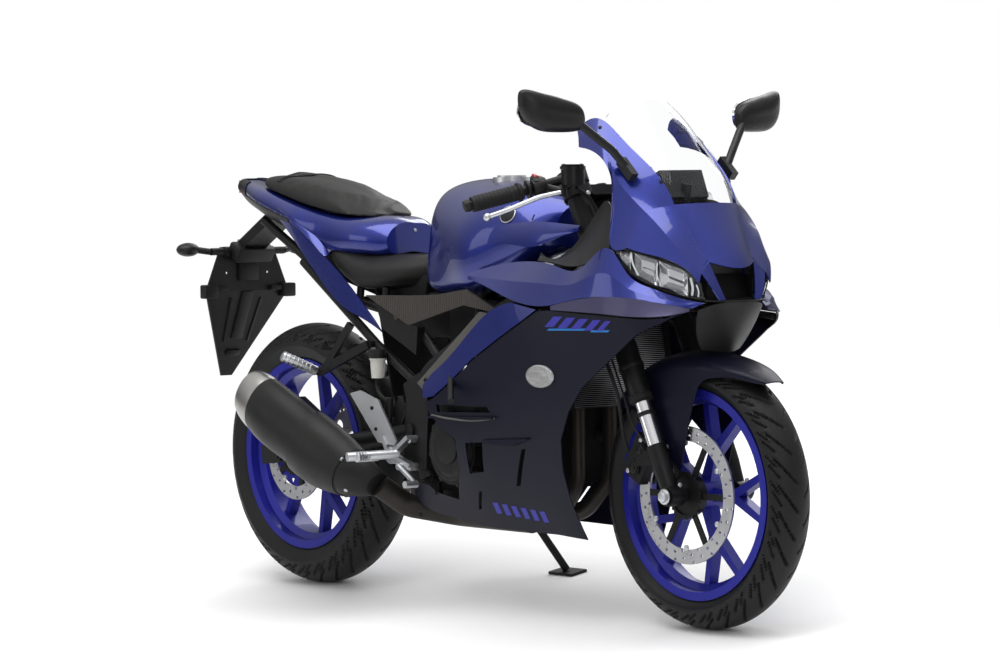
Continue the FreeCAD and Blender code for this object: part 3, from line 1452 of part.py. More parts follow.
def mirrors():
    squareness = 0.7
    pieces = []
    for side in (-1, 1):
        stalk = pipe([(600, side * 146, 996), (588, side * 176, 1034), (550, side * 244, 1096)], 9, 60)
        foot = bar_between((622, side * 146, 975), (582, side * 146, 1012), 18, 20)
        rings = []
        for y, half_height, half_depth, x, z in (
            (226, 15, 9, 549, 1099), (240, 28, 18, 546, 1104), (262, 34, 24, 542, 1107), (300, 39, 27, 536, 1112),
            (345, 38, 24, 528, 1123), (367, 27, 16, 522, 1137), (375, 15, 8, 520, 1143),
        ):
            ring = []
            for k in range(12):
                angle = 2 * math.pi * k / 12
                across = math.copysign(abs(math.cos(angle)) ** squareness, math.cos(angle))
                up = math.copysign(abs(math.sin(angle)) ** squareness, math.sin(angle))
                ring.append((x + half_depth * across, side * y, z + half_height * up))
            rings.append(ring)
        pieces.append(joined([shaped(rings), stalk, foot]).cut(nose_shape))
    return Part.makeCompound(pieces)


shape_part("mirrors", mirrors())
instrument_shape = bar_between((624, 0, 928), (601, 0, 986), 122, 22, up=(1, 0, 0))
shape_part("instrument", instrument_shape)


def rear_fluid_cup():
    top = cup_base + Vector(0, 0, cup_height)
    return joined([
        taper(tuple(cup_base), tuple(top), cup_radius - 3, cup_radius),
        rod(tuple(top), tuple(top + Vector(0, 0, 15)), cup_radius + 2),
    ])


cup_shape = rear_fluid_cup()
shape_part("rear_fluid_cup", cup_shape)


frame_shape = frame()
shape_part("frame", frame_shape)
shape_part("radiator", radiator())


def side_plates(label, outline, y, thickness, posts=()):
    right = [plate(outline, -y - thickness, thickness)]
    right += [rod((x, -y - 1, z), (x, -y + depth, z), 7) for x, z, depth in posts]
    right = up_to(joined(right), frame_shape)
    return shape_part(label, Part.makeCompound([right, mirrored(right)]))


side_plates("frame_covers", [
    (-309, 706), (-149, 640), (51, 690), (167, 675), (157, 688), (60, 726), (-45, 712), (-148, 708),
], 150, 5, posts=(
    (-200, 658, 40), (136, 685, 12),
))
side_plates("spar_covers", [(158, 671), (113, 677), (-113, 509), (-81, 488)], 147.3, 12)


def foot_controls():
    heel = plate([(-337, 478), (-300, 486), (-231, 466), (-165, 375), (-172, 364), (-233, 369)], -181, 5)
    hub = (-190, -172, 341)
    bracket = [rod((hub[0], -178, hub[2]), (hub[0], -166, hub[2]), 20)]
    for x, z, width in ((-124, 386, 20), (-118, 320, 20), (-214, 382, 26)):
        bracket.append(bar_between(hub, (x, hub[1], z), 10, width, up=(0, 1, 0)))
    spacers = [rod((-135, -168, z), (-135, -147.3, z), 9) for z in (380, 316)]
    peg = rod((-165, -174, 345), (-208, -290, 342), 11)
    lever = pipe([(-150, -186, 318), (-90, -196, 292), (-66, -204, 283)], 6, 40)
    pad = rod((-66, -200, 283), (-66, -235, 283), 8)
    post = rod((-150, -188, 318), (-150, -166, 318), 9)
    return up_to(joined([heel, peg, lever, pad, post] + bracket + spacers), frame_shape)


right_controls = foot_controls()
shape_part("foot_controls", Part.makeCompound([right_controls, mirrored(right_controls)]))


def pillion_brackets():
    pieces = []
    for side in (-1, 1):
        bracket = bar_between((-330, side * 130, 590), (-500, side * 146, 520), 12, 20)
        stem = bar_between((-400, side * 128, 636), (-476, side * 146, 530), 12, 16)
        peg = rod((-500, side * 146, 520), (-530, side * 230, 560), 9)
        posts = [rod((-330, side * 130, 590), (-330, side * 110, 590), 8)]
        pieces.append(up_to(joined([bracket, stem, peg] + posts), frame_shape))
    return Part.makeCompound(pieces)


shape_part("pillion_brackets", pillion_brackets())


def rear_caliper():
    centre = rear_axle + Vector(0, rear_disc_y, 0)
    body = caliper(centre, value("rear_disc_radius"), 62, 12, 14)
    start = Vector(rear_axle.x, -92, rear_axle.z)
    eye = rod((start.x, -95, start.z), (start.x, -90, start.z), 25)
    arm = bar_between(tuple(start), (start.x + 52, -92.5, start.z + 98), 5, 34, up=(0.88, 0, -0.47))
    collar = rod((start.x, -120, start.z), (start.x, -60, start.z), 13.3)
    return joined([body, eye, arm]).cut(collar)


shape_part("rear_caliper", rear_caliper())
shape_part("chain_guard", up_to(joined([
    bar_between((-330, 100, 470), (-640, 104, 445), 24, 3),
    bar_between((-330, 113, 460), (-640, 117, 435), 3, 24),
    plate([(-480, 455), (-520, 452), (-515, 350), (-495, 350)], 113, 3),
]), swingarm_shape))

# Side stand
ground_rise = math.tan(lean)


def side_stand():
    foot_y = value("stand_reach")
    foot = Vector(-86, foot_y, foot_y * ground_rise)
    ankle = foot + Vector(0, 0, 8)
    down = (ankle - stand_pivot).normalize()
    leg = rod(tuple(stand_pivot + down * 24), tuple(ankle), value("stand_leg_radius"))
    neck = bar_between(tuple(stand_pivot), tuple(stand_pivot + down * 34), 20, 9, up=tuple(stand_axis))
    half = stand_axis * stand_eye_half
    eye = rod(tuple(stand_pivot - half), tuple(stand_pivot + half), 14)
    bore = rod(tuple(stand_pivot - half * 5), tuple(stand_pivot + half * 5), stand_pin_radius + 0.3)
    pad = block((-40, -22, 0), (44, 26, 6))
    pad.rotate(Vector(0, 0, 0), Vector(1, 0, 0), value("lean_angle"))
    pad.translate(foot)
    return joined([leg, neck, eye, pad]).cut(bore)


shape_part("side_stand", side_stand())


# The placement that leans the machine onto its stand and centres its bounding box over the origin
def parked_placement():
    turn = Rotation(Vector(1, 0, 0), -value("lean_angle"))
    lift = value("rear_crown_radius") * (1 - math.cos(lean))
    box = FreeCAD.BoundBox()
    for part in sub_parts:
        shape = part.Shape.copy()
        shape.Placement = Placement(Vector(0, 0, 0), turn).multiply(shape.Placement)
        box.add(shape.optimalBoundingBox(False, False))
    middle = box.Center
    return Placement(Vector(-middle.x, -middle.y, lift), turn)


doc.recompute()
parked = parked_placement()
for part in sub_parts:
    part.Placement = parked.multiply(part.Placement)
doc.recompute()

for obj in doc.Objects:
    if {"Invalid", "Error"} & set(obj.State):
        raise RuntimeError(f"{obj.Label}: {obj.State}")
for part in sub_parts:
    if part.Shape.isNull() or not part.Shape.isValid():
        raise RuntimeError(f"{part.Label} has no valid shape")

os.makedirs("parts", exist_ok=True)
for part in sub_parts:
    part.Shape.exportStep(f"parts/{part.Label}.step")

print("sub-parts", len(sub_parts))
for name, point, direction in (
    ("spool left", spool_at, Vector(0, 1, 0)),
    ("spool right", Vector(spool_at.x, -spool_at.y, spool_at.z), Vector(0, -1, 0)),
    ("plate left", plate_hole - Vector(2.5, 0, 0), Vector(-1, 0, 0)),
    ("plate right", Vector(plate_hole.x - 2.5, -plate_hole.y, plate_hole.z), Vector(-1, 0, 0)),
    ("steering", steering_base, steering_direction),
    ("front wheel", front_axle, Vector(0, 1, 0)),
    ("rear wheel", rear_axle, Vector(0, 1, 0)),
    ("side stand", stand_pivot, stand_axis),
):
    spot = parked.multVec(point)
    line = parked.Rotation.multVec(direction)
    print(name, [round(c, 3) for c in spot], [round(c, 6) for c in line])
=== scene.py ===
import json
import math
import bpy
from mathutils import Matrix, Vector


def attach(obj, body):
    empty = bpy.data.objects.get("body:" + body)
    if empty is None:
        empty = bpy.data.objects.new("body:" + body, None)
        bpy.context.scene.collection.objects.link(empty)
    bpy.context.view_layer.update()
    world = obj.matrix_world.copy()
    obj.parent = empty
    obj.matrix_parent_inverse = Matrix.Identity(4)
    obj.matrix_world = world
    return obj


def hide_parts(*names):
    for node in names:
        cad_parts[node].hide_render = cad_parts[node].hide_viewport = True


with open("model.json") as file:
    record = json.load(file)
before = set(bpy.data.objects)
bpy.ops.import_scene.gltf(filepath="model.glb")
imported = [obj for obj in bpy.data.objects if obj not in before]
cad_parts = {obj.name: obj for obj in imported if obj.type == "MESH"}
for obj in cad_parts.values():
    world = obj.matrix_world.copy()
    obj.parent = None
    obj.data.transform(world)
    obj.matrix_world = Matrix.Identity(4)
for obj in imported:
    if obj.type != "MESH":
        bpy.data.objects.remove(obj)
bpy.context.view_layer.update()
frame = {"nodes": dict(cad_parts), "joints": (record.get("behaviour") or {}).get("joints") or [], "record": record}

print("stage: frame loaded")

# The machine was designed upright, in millimetres, and leans on its side stand.
# upright(x, y, z) turns a design place into the parked frame, in metres.
designFrontAxle = Vector((0.68968, 0.0, 0.293))
jointByName = {joint["name"]: joint for joint in frame["joints"]}
wheelJoint = jointByName["front_wheel_spin"]
leanAngle = math.atan2(wheelJoint["axis"][2], wheelJoint["axis"][1])
leanTurn = Matrix.Rotation(leanAngle, 4, "X")
leanShift = Vector(wheelJoint["pos_m"]) - leanTurn @ designFrontAxle
parked = Matrix.Translation(leanShift) @ leanTurn


def upright(x, y, z):
    return parked @ Vector((x / 1000, y / 1000, z / 1000))


# small helpers for every piece
def setMode(mode):
    bpy.ops.object.mode_set(mode=mode)


def clearSelection():
    if bpy.context.object and bpy.context.object.mode != "OBJECT":
        setMode("OBJECT")
    bpy.ops.object.select_all(action="DESELECT")


def pick(obj):
    clearSelection()
    obj.select_set(True)
    bpy.context.view_layer.objects.active = obj


def applyAll(obj):
    pick(obj)
    for modifier in list(obj.modifiers):
        bpy.ops.object.modifier_apply(modifier=modifier.name)


def leanIntoPlace(obj):
    # a piece modelled upright, in metres, gets the parked lean in its mesh
    obj.data.transform(parked @ obj.matrix_world)
    obj.matrix_world = Matrix.Identity(4)
    obj.data.update()


def freshCopy(source):
    copy = source.copy()
    copy.data = source.data.copy()
    bpy.context.collection.objects.link(copy)
    return copy


def copyOfNode(nodeName):
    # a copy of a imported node, parked as it is, with no parent
    copy = freshCopy(frame["nodes"][nodeName])
    copy.parent = None
    copy.matrix_world = Matrix.Identity(4)
    return copy


def addModifier(piece, kind, **settings):
    modifier = piece.modifiers.new(kind.lower(), kind)
    for label, setting in settings.items():
        setattr(modifier, label, setting)


# nodes with their values, and links between named sockets
def setInputs(node, values):
    for label, number in values.items():
        node.inputs[label].default_value = number


def makeNode(tree, kind, values=None, **settings):
    node = tree.nodes.new("ShaderNode" + kind)
    for label, setting in settings.items():
        setattr(node, label, setting)
    setInputs(node, values or {})
    return node


def wire(tree, *links):
    for source, given, target, taken in links:
        tree.links.new(source.outputs[given], target.inputs[taken])


# shared effects
def newGroup(name, numbers, results):
    group = bpy.data.node_groups.new(name, "ShaderNodeTree")
    addSocket = group.interface.new_socket
    addSocket(name="Vector", in_out="INPUT", socket_type="NodeSocketVector")
    for label, start in numbers.items():
        addSocket(name=label, in_out="INPUT", socket_type="NodeSocketFloat").default_value = start
    for label in results:
        kind = "NodeSocketVector" if label == "Normal" else "NodeSocketFloat"
        addSocket(name=label, in_out="OUTPUT", socket_type=kind)
    return group, group.nodes.new("NodeGroupInput"), group.nodes.new("NodeGroupOutput")


def buildRelief(name, scale, detail, distance, stretch):
    # fine moulded or cast grain, or the lines of a brush or lathe where one axis is stretched
    group, start, end = newGroup(name, {"Scale": scale, "Depth": 0.1}, ("Mask", "Normal"))
    mapping = makeNode(group, "Mapping", {"Scale": stretch})
    noise = makeNode(group, "TexNoise", {"Detail": detail})
    bump = makeNode(group, "Bump", {"Distance": distance})
    wire(
        group, (start, "Vector", mapping, "Vector"), (mapping, "Vector", noise, "Vector"),
        (start, "Scale", noise, "Scale"), (start, "Depth", bump, "Strength"), (noise, "Fac", bump, "Height"),
        (noise, "Fac", end, "Mask"), (bump, "Normal", end, "Normal"),
    )
    return group


def buildFlakes():
    # the tiny tilted flakes under a clear coat
    group, start, end = newGroup("paintFlakes", {"Scale": 2600.0, "Tilt": 0.2}, ("Mask", "Normal"))
    cells = makeNode(group, "TexVoronoi", feature="F1")
    split = makeNode(group, "SeparateColor")
    bump = makeNode(group, "Bump", {"Distance": 0.0004})
    wire(
        group, (start, "Vector", cells, "Vector"), (start, "Scale", cells, "Scale"),
        (cells, "Color", split, "Color"), (split, "Red", bump, "Height"), (start, "Tilt", bump, "Strength"),
        (split, "Green", end, "Mask"), (bump, "Normal", end, "Normal"),
    )
    return group


def buildSmudge():
    # broad, faint variation of gloss from handling and cleaning
    numbers = {"Scale": 6.0, "Low": 0.2, "High": 0.3}
    group, start, end = newGroup("glossSmudge", numbers, ("Roughness", "Mask"))
    noise = makeNode(group, "TexNoise", {"Detail": 6.0, "Roughness": 0.6})
    spread = makeNode(group, "MapRange", {"From Min": 0.3, "From Max": 0.7})
    wire(
        group, (start, "Vector", noise, "Vector"), (start, "Scale", noise, "Scale"),
        (noise, "Fac", spread, "Value"), (start, "Low", spread, "To Min"), (start, "High", spread, "To Max"),
        (spread, "Result", end, "Roughness"), (noise, "Fac", end, "Mask"),
    )
    return group


grainGroup = buildRelief("mouldedGrain", 400.0, 4.0, 0.0006, (1.0, 1.0, 1.0))
brushGroup = buildRelief("brushLines", 300.0, 3.0, 0.0003, (0.05, 1.0, 1.0))
flakeGroup = buildFlakes()
smudgeGroup = buildSmudge()
print("stage: shared effects built")


def addGroup(tree, group, place, values):
    node = makeNode(tree, "Group", values, node_tree=group)
    wire(tree, (place, "Object", node, "Vector"))
    return node


def startFinish(name):
    material = bpy.data.materials.new(name)
    material.use_nodes = True
    tree = material.node_tree
    return material, tree, tree.nodes["Principled BSDF"], makeNode(tree, "TexCoord")


def blendColours(tree, mask, maskName, first, second):
    mix = makeNode(tree, "Mix", {"A": (*first, 1.0), "B": (*second, 1.0)}, data_type="RGBA")
    wire(tree, (mask, maskName, mix, "Factor"))
    return mix


def dressShader(tree, shader, colour, gloss, relief, values):
    wire(
        tree, (colour, "Result", shader, "Base Color"), (gloss, "Roughness", shader, "Roughness"),
        (relief, "Normal", shader, "Normal"),
    )
    setInputs(shader, values)


dullSpecular = 0.22  # gloss level of plastics and black paints


def paintFinish(name, bright, deep, metallic, roughness, coat, specular):
    material, tree, shader, place = startFinish(name)
    flakes = addGroup(tree, flakeGroup, place, {"Scale": 2600.0, "Tilt": 0.12})
    smudge = addGroup(tree, smudgeGroup, place, {"Low": roughness - 0.03, "High": roughness + 0.04})
    facing = makeNode(tree, "LayerWeight", {"Blend": 0.42})
    colour = blendColours(tree, facing, "Facing", bright, deep)
    dressShader(tree, shader, colour, smudge, flakes, {
        "Metallic": metallic, "Specular IOR Level": specular, "Coat Weight": coat, "Coat Roughness": 0.03,
    })
    return material


def plasticFinish(name, colour, darker, roughness, grainScale=900.0, grainDepth=0.15, coat=0.0):
    material, tree, shader, place = startFinish(name)
    grain = addGroup(tree, grainGroup, place, {"Scale": grainScale, "Depth": grainDepth})
    smudge = addGroup(tree, smudgeGroup, place, {"Low": roughness - 0.05, "High": roughness + 0.06})
    tint = blendColours(tree, smudge, "Mask", colour, darker)
    dressShader(tree, shader, tint, smudge, grain, {
        "Specular IOR Level": dullSpecular, "Coat Weight": coat, "Coat Roughness": 0.12,
    })
    return material


def metalFinish(name, colour, darker, roughness, brushed=0.0, grainDepth=0.1, metallic=1.0):
    material, tree, shader, place = startFinish(name)
    smudge = addGroup(
        tree, smudgeGroup, place, {"Low": roughness - 0.05, "High": roughness + 0.08, "Scale": 14.0},
    )
    if brushed > 0.0:
        lines = addGroup(tree, brushGroup, place, {"Scale": 420.0, "Depth": brushed})
    else:
        lines = addGroup(tree, grainGroup, place, {"Scale": 500.0, "Depth": grainDepth})
    tint = blendColours(tree, smudge, "Mask", colour, darker)
    specular = 0.5 if metallic > 0.9 else dullSpecular
    dressShader(tree, shader, tint, smudge, lines, {"Metallic": metallic, "Specular IOR Level": specular})
    return material


def clearFinish(name, colour, roughness, weight, ior):
    material, tree, shader, place = startFinish(name)
    smudge = addGroup(tree, smudgeGroup, place, {"Low": roughness, "High": roughness + 0.03, "Scale": 9.0})
    wire(tree, (smudge, "Roughness", shader, "Roughness"))
    setInputs(shader, {"Base Color": (*colour, 1.0), "Transmission Weight": weight, "IOR": ior})
    return material


def ribbedFinish(name):
    # grey-brown plastic with a wavy moulded pattern
    material, tree, shader, place = startFinish(name)
    bands = makeNode(
        tree, "TexWave", {"Scale": 46.0, "Distortion": 3.2, "Detail": 1.0, "Detail Scale": 1.6},
        bands_direction="X",
    )
    relief = makeNode(tree, "Bump", {"Strength": 0.5, "Distance": 0.0012})
    colour = blendColours(tree, bands, "Fac", (0.022, 0.019, 0.017), (0.052, 0.046, 0.040))
    wire(
        tree, (place, "Object", bands, "Vector"), (bands, "Fac", relief, "Height"),
        (colour, "Result", shader, "Base Color"), (relief, "Normal", shader, "Normal"),
    )
    setInputs(shader, {"Roughness": 0.5, "Specular IOR Level": dullSpecular})
    return material


# bright, deep, metallic, roughness, coat, specular
paints = {
    "bodyBlue": ((0.011, 0.022, 0.21), (0.004, 0.007, 0.085), 0.55, 0.25, 0.7, 0.3),
    "bodyNavy": ((0.0042, 0.0044, 0.015), (0.0025, 0.0025, 0.008), 0.0, 0.42, 0.05, 0.12),
    "accentViolet": ((0.060, 0.056, 0.115), (0.022, 0.021, 0.055), 0.30, 0.40, 0.15, 0.2),
    "wheelBlue": ((0.015, 0.017, 0.28), (0.008, 0.009, 0.15), 0.20, 0.38, 0.2, 0.25),
    "barCyan": ((0.010, 0.16, 0.46), (0.008, 0.10, 0.34), 0.0, 0.4, 0.1, 0.2),
    "barViolet": ((0.030, 0.026, 0.30), (0.020, 0.018, 0.22), 0.0, 0.4, 0.1, 0.2),
}
# colour, darker, roughness, grain scale, grain depth, coat
plastics = {
    "trimBlack": ((0.009, 0.009, 0.010), (0.006, 0.006, 0.0065), 0.46),
    "innerGrey": ((0.020, 0.019, 0.019), (0.014, 0.013, 0.013), 0.48),
    "coverGrey": ((0.088, 0.086, 0.080), (0.070, 0.068, 0.064), 0.46),
    "seatBlack": ((0.012, 0.0115, 0.011), (0.008, 0.008, 0.0078), 0.54, 900.0, 0.4),
    "tyreBlack": ((0.0095, 0.0095, 0.010), (0.006, 0.006, 0.0065), 0.52, 1200.0, 0.2),
    "gripRubber": ((0.012, 0.012, 0.012), (0.008, 0.008, 0.008), 0.66, 500.0, 0.6),
    "mirrorBlack": ((0.012, 0.012, 0.013), (0.009, 0.009, 0.010), 0.36, 900.0, 0.1),
    "lightPipe": ((0.85, 0.87, 0.90), (0.78, 0.80, 0.84), 0.25, 300.0, 0.02, 0.6),
    # near-black of the inner parts: partly their black plastic, partly painted shade of the dark interior
    "innerDark": ((0.004, 0.004, 0.004), (0.003, 0.003, 0.003), 0.7),
    "cupWhite": ((0.50, 0.49, 0.46), (0.44, 0.43, 0.40), 0.35, 300.0, 0.05),
    "bulbOrange": ((0.55, 0.10, 0.02), (0.45, 0.07, 0.02), 0.3),
    "panelGlass": ((0.010, 0.011, 0.013), (0.008, 0.009, 0.010), 0.14, 300.0, 0.02),
}
# colour, darker, roughness, brushed, grain depth, metallic
metals = {
    "frameBlack": ((0.011, 0.011, 0.012), (0.007, 0.007, 0.008), 0.42, 0.0, 0.1, 0.2),
    "engineBlack": ((0.014, 0.014, 0.015), (0.008, 0.008, 0.009), 0.46, 0.0, 0.3, 0.3),
    "forkBlack": ((0.016, 0.016, 0.017), (0.010, 0.010, 0.011), 0.34, 0.0, 0.1, 0.5),
    "forkSilver": ((0.78, 0.78, 0.80), (0.66, 0.66, 0.69), 0.14, 0.04),
    "discSteel": ((0.62, 0.62, 0.63), (0.48, 0.48, 0.50), 0.30, 0.15),
    "chainSteel": ((0.28, 0.26, 0.23), (0.16, 0.15, 0.14), 0.38, 0.0, 0.2),
    "castAluminium": ((0.60, 0.61, 0.63), (0.46, 0.47, 0.49), 0.36, 0.0, 0.25),
    "exhaustBlack": ((0.015, 0.0145, 0.014), (0.010, 0.010, 0.010), 0.44, 0.0, 0.2, 0.2),
    "exhaustTip": ((0.46, 0.45, 0.43), (0.32, 0.31, 0.30), 0.30, 0.2),
    "headerSteel": ((0.040, 0.036, 0.032), (0.022, 0.020, 0.018), 0.44, 0.1, 0.1, 0.6),
    "lampChrome": ((0.52, 0.52, 0.53), (0.36, 0.36, 0.37), 0.15),
    "mirrorGlass": ((0.86, 0.87, 0.89), (0.80, 0.81, 0.84), 0.06),
}
# colour, roughness, transmission, refraction
clears = {
    "screenClear": ((0.98, 0.985, 0.99), 0.01, 1.0, 1.12), "lensClear": ((0.96, 0.97, 0.98), 0.01, 1.0, 1.25),
    "lampRed": ((0.45, 0.01, 0.01), 0.08, 0.4, 1.45), "lampSmoke": ((0.80, 0.80, 0.80), 0.04, 0.8, 1.35),
}
finishes = {"ribbedCover": ribbedFinish("ribbedCover")}
for makeFinish, table in (
    (paintFinish, paints), (plasticFinish, plastics), (metalFinish, metals), (clearFinish, clears),
):
    for finishName, values in table.items():
        finishes[finishName] = makeFinish(finishName, *values)
nodesOfFinish = {
    "bodyBlue": (
        "edge_strips", "fuel_tank", "nose_cowl", "tail_bands", "tail_cowl", "tank_side_panels",
        "upper_panels",
    ),
    "bodyNavy": ("front_fender", "side_cowl_left", "side_cowl_right"), "accentViolet": ("accent_panels",),
    "wheelBlue": ("front_rim", "rear_rim"), "trimBlack": ("chain_guard", "nose_duct", "plate_hanger"),
    "innerGrey": ("inner_panels",), "coverGrey": ("spar_covers",), "ribbedCover": ("frame_covers",),
    "frameBlack": ("frame", "pillion_brackets", "side_stand", "swingarm"),
    "engineBlack": ("engine", "radiator"), "exhaustTip": ("muffler_tip",),
    "forkBlack": (
        "fork_feet", "fork_tubes", "front_caliper", "front_disc_carrier", "handlebars", "lever_perches",
        "rear_caliper", "rear_disc_carrier", "shock",
    ),
    "forkSilver": ("fork_stanchions",), "discSteel": ("front_disc", "rear_disc"),
    "chainSteel": ("drive_chain", "rear_sprocket"), "exhaustBlack": ("muffler",),
    "castAluminium": ("foot_controls", "hand_levers", "sprocket_carrier", "tank_cap"),
    "headerSteel": ("exhaust_headers",), "seatBlack": ("front_seat", "rear_seat"),
    "tyreBlack": ("front_tyre", "rear_tyre"), "gripRubber": ("hand_grips",), "screenClear": ("windscreen",),
    "lensClear": ("headlight_lenses",), "lampChrome": ("headlight_units",), "lampRed": ("tail_lamp",),
    "lampSmoke": ("front_signals",), "mirrorBlack": ("mirrors", "rear_signals"),
    "panelGlass": ("instrument",), "cupWhite": ("rear_fluid_cup",),
}
for finishName, nodeNames in nodesOfFinish.items():
    for nodeName in nodeNames:
        for slot in frame["nodes"][nodeName].material_slots:
            slot.material = finishes[finishName]
print("stage: finishes set on the frame's nodes")

# the photograph's camera, fitted to both wheels of the upright machine, in millimetres, degrees and pixels
photoCamera = {
    "place": (7077.8, -5855.5, 1002.4), "yaw": 50.427, "down": 2.384, "roll": -0.493, "focal": 4024.3,
    "width": 1000, "height": 667, "sensor": 36.0,
}

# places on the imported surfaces, found in the upright design frame
leanBack = parked.inverted()
turnOnly = leanTurn.to_3x3()


def hitSurface(nodeNames, origin, heading):
    # the nearest point of these nodes along a line, in upright millimetres, and the way it faces
    start = upright(*origin)
    ray = (turnOnly @ Vector(heading)).normalized()
    best = None
    for nodeName in nodeNames:
        surface = frame["nodes"].get(nodeName) or bpy.data.objects[nodeName]
        found, place, normal, index = surface.ray_cast(start, ray)
        if found and (best is None or (place - start).length < best[0]):
            best = ((place - start).length, place, normal)
    if best is None:
        return None
    facing = turnOnly.inverted() @ best[2]
    if facing.dot(Vector(heading)) > 0:
        facing = -facing
    return leanBack @ best[1] * 1000, facing.normalized()


def photoAxes():
    yaw, down, roll = (math.radians(photoCamera[label]) for label in ("yaw", "down", "roll"))
    ahead = Vector((-math.sin(yaw) * math.cos(down), math.cos(yaw) * math.cos(down), -math.sin(down)))
    right = ahead.cross(Vector((0.0, 0.0, 1.0))).normalized()
    above = right.cross(ahead)
    turnedRight = math.cos(roll) * right + math.sin(roll) * above
    return turnedRight, math.cos(roll) * above - math.sin(roll) * right, ahead


def seenInPhoto(u, v, nodeNames):
    # the surface point that the photograph shows at this pixel
    right, above, ahead = photoAxes()
    across = (u - photoCamera["width"] / 2) / photoCamera["focal"]
    down = (v - photoCamera["height"] / 2) / photoCamera["focal"]
    return hitSurface(nodeNames, photoCamera["place"], ahead + right * across - above * down)


def otherSide(point):
    return Vector((point[0], -point[1], point[2]))


# building blocks: each is a primitive at its place, in metres, upright
def addRod(start, end, radius, sides=24, endRadius=None, bevel=0.8):
    start, end = Vector(start) / 1000, Vector(end) / 1000
    line = end - start
    clearSelection()
    bpy.ops.mesh.primitive_cone_add(
        vertices=sides, radius1=radius / 1000, radius2=(radius if endRadius is None else endRadius) / 1000,
        depth=line.length,
    )
    piece = bpy.context.object
    piece.rotation_mode = "QUATERNION"
    piece.rotation_quaternion = line.to_track_quat("Z", "Y")
    piece.location = (start + end) / 2
    if bevel:
        softenEdges(piece, bevel)
    return piece


def addSlab(centre, size, tilt=(0, 0, 0), bevel=1.0):
    clearSelection()
    turns = [math.radians(turn) for turn in tilt]
    bpy.ops.mesh.primitive_cube_add(size=1, location=Vector(centre) / 1000, rotation=turns)
    piece = bpy.context.object
    piece.scale = Vector(size) / 1000
    if bevel:
        bpy.ops.object.transform_apply(location=False, rotation=False, scale=True)
        softenEdges(piece, bevel)
    return piece


def softenEdges(piece, width):
    addModifier(
        piece, "BEVEL", width=width / 1000, segments=2, limit_method="ANGLE", angle_limit=math.radians(35),
    )


def addGrid(columns, rows):
    clearSelection()
    bpy.ops.mesh.primitive_grid_add(x_subdivisions=columns, y_subdivisions=rows, size=1)
    return bpy.context.object


def addCylinder(sides, radius, depth):
    clearSelection()
    bpy.ops.mesh.primitive_cylinder_add(vertices=sides, radius=radius, depth=depth)
    return bpy.context.object


def addHose(points, radius, sides=10):
    # a held hose or cable: a smooth curve through given points, made a mesh
    clearSelection()
    bpy.ops.curve.primitive_bezier_curve_add()
    hose = bpy.context.object
    spline = hose.data.splines[0]
    spline.bezier_points.add(len(points) - 2)
    for knot, place in zip(spline.bezier_points, points):
        knot.co = Vector(place) / 1000
        knot.handle_left_type = "AUTO"
        knot.handle_right_type = "AUTO"
    hose.location = (0, 0, 0)
    hose.data.dimensions = "3D"
    hose.data.bevel_depth = radius / 1000
    hose.data.bevel_resolution = sides // 4
    hose.data.resolution_u = 8
    hose.data.use_fill_caps = True
    bpy.ops.object.convert(target="MESH")
    return bpy.context.object


def selectFaces(piece, test):
    pick(piece)
    setMode("EDIT")
    bpy.ops.mesh.select_mode(type="FACE")
    bpy.ops.mesh.select_all(action="DESELECT")
    setMode("OBJECT")
    for face in piece.data.polygons:
        face.select = test(face.center, face.normal)
    setMode("EDIT")


def closeSeams(piece, distance=0.00002):
    pick(piece)
    setMode("EDIT")
    bpy.ops.mesh.select_all(action="SELECT")
    bpy.ops.mesh.remove_doubles(threshold=distance)
    bpy.ops.mesh.normals_make_consistent(inside=False)
    setMode("OBJECT")


def joinPieces(parts):
    for piece in parts:
        applyAll(piece)
    clearSelection()
    for piece in parts:
        piece.select_set(True)
    bpy.context.view_layer.objects.active = parts[0]
    if len(parts) > 1:
        bpy.ops.object.join()
    bpy.ops.object.transform_apply(location=True, rotation=True, scale=True)
    return bpy.context.object


def slotName(finishName):
    return "".join("_" + letter.lower() if letter.isupper() else letter for letter in finishName)


recordSlots = {material["slot"] for material in frame["record"]["materials"]}


def settle(parts, name, finishName, body="chassis", stands=(), smoothAngle=35):
    # joins the parts of a piece, gives it finish, lean and body
    piece = joinPieces(parts)
    piece.name = name
    piece.data.name = name
    piece.data.materials.clear()
    piece.data.materials.append(finishes[finishName])
    bpy.ops.object.shade_smooth_by_angle(angle=math.radians(smoothAngle))
    leanIntoPlace(piece)
    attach(piece, body)
    if slotName(finishName) in recordSlots:
        slotName(finishName)
    if stands:
        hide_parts(*stands)
    return piece


def bothSides(build):
    return [part for side in (-1, 1) for part in build(side)]


def mirroredRods(rods):
    # each rod is a start, an end and addRod's other values, and stands on both sides of the middle plane
    flips = (Vector((1, -1, 1)), Vector((1, 1, 1)))
    return [addRod(Vector(a) * flip, Vector(b) * flip, *rest) for flip in flips for a, b, *rest in rods]


# bolts: one button head and one hex head are modelled and copied, one joined piece for each body and finish
boltHeads = {"button": (16, 0.5), "hex": (6, 0.62)}  # sides, and height at a radius of 1
boltSpots = {}


def addBolt(point, facing, radius, body, finishName, kind="button"):
    spots = boltSpots.setdefault((body, kind, finishName), [])
    spots.append((Vector(point), Vector(facing).normalized(), radius))


def boltOn(u, v, nodeNames, radius, finishName="trimBlack", mirrorToo=True):
    seen = seenInPhoto(u, v, nodeNames)
    if seen is None:
        print("no surface for a bolt at", u, v)
        return
    addBolt(seen[0], seen[1], radius, "chassis", finishName)
    if mirrorToo:
        addBolt(otherSide(seen[0]), otherSide(seen[1]), radius, "chassis", finishName)


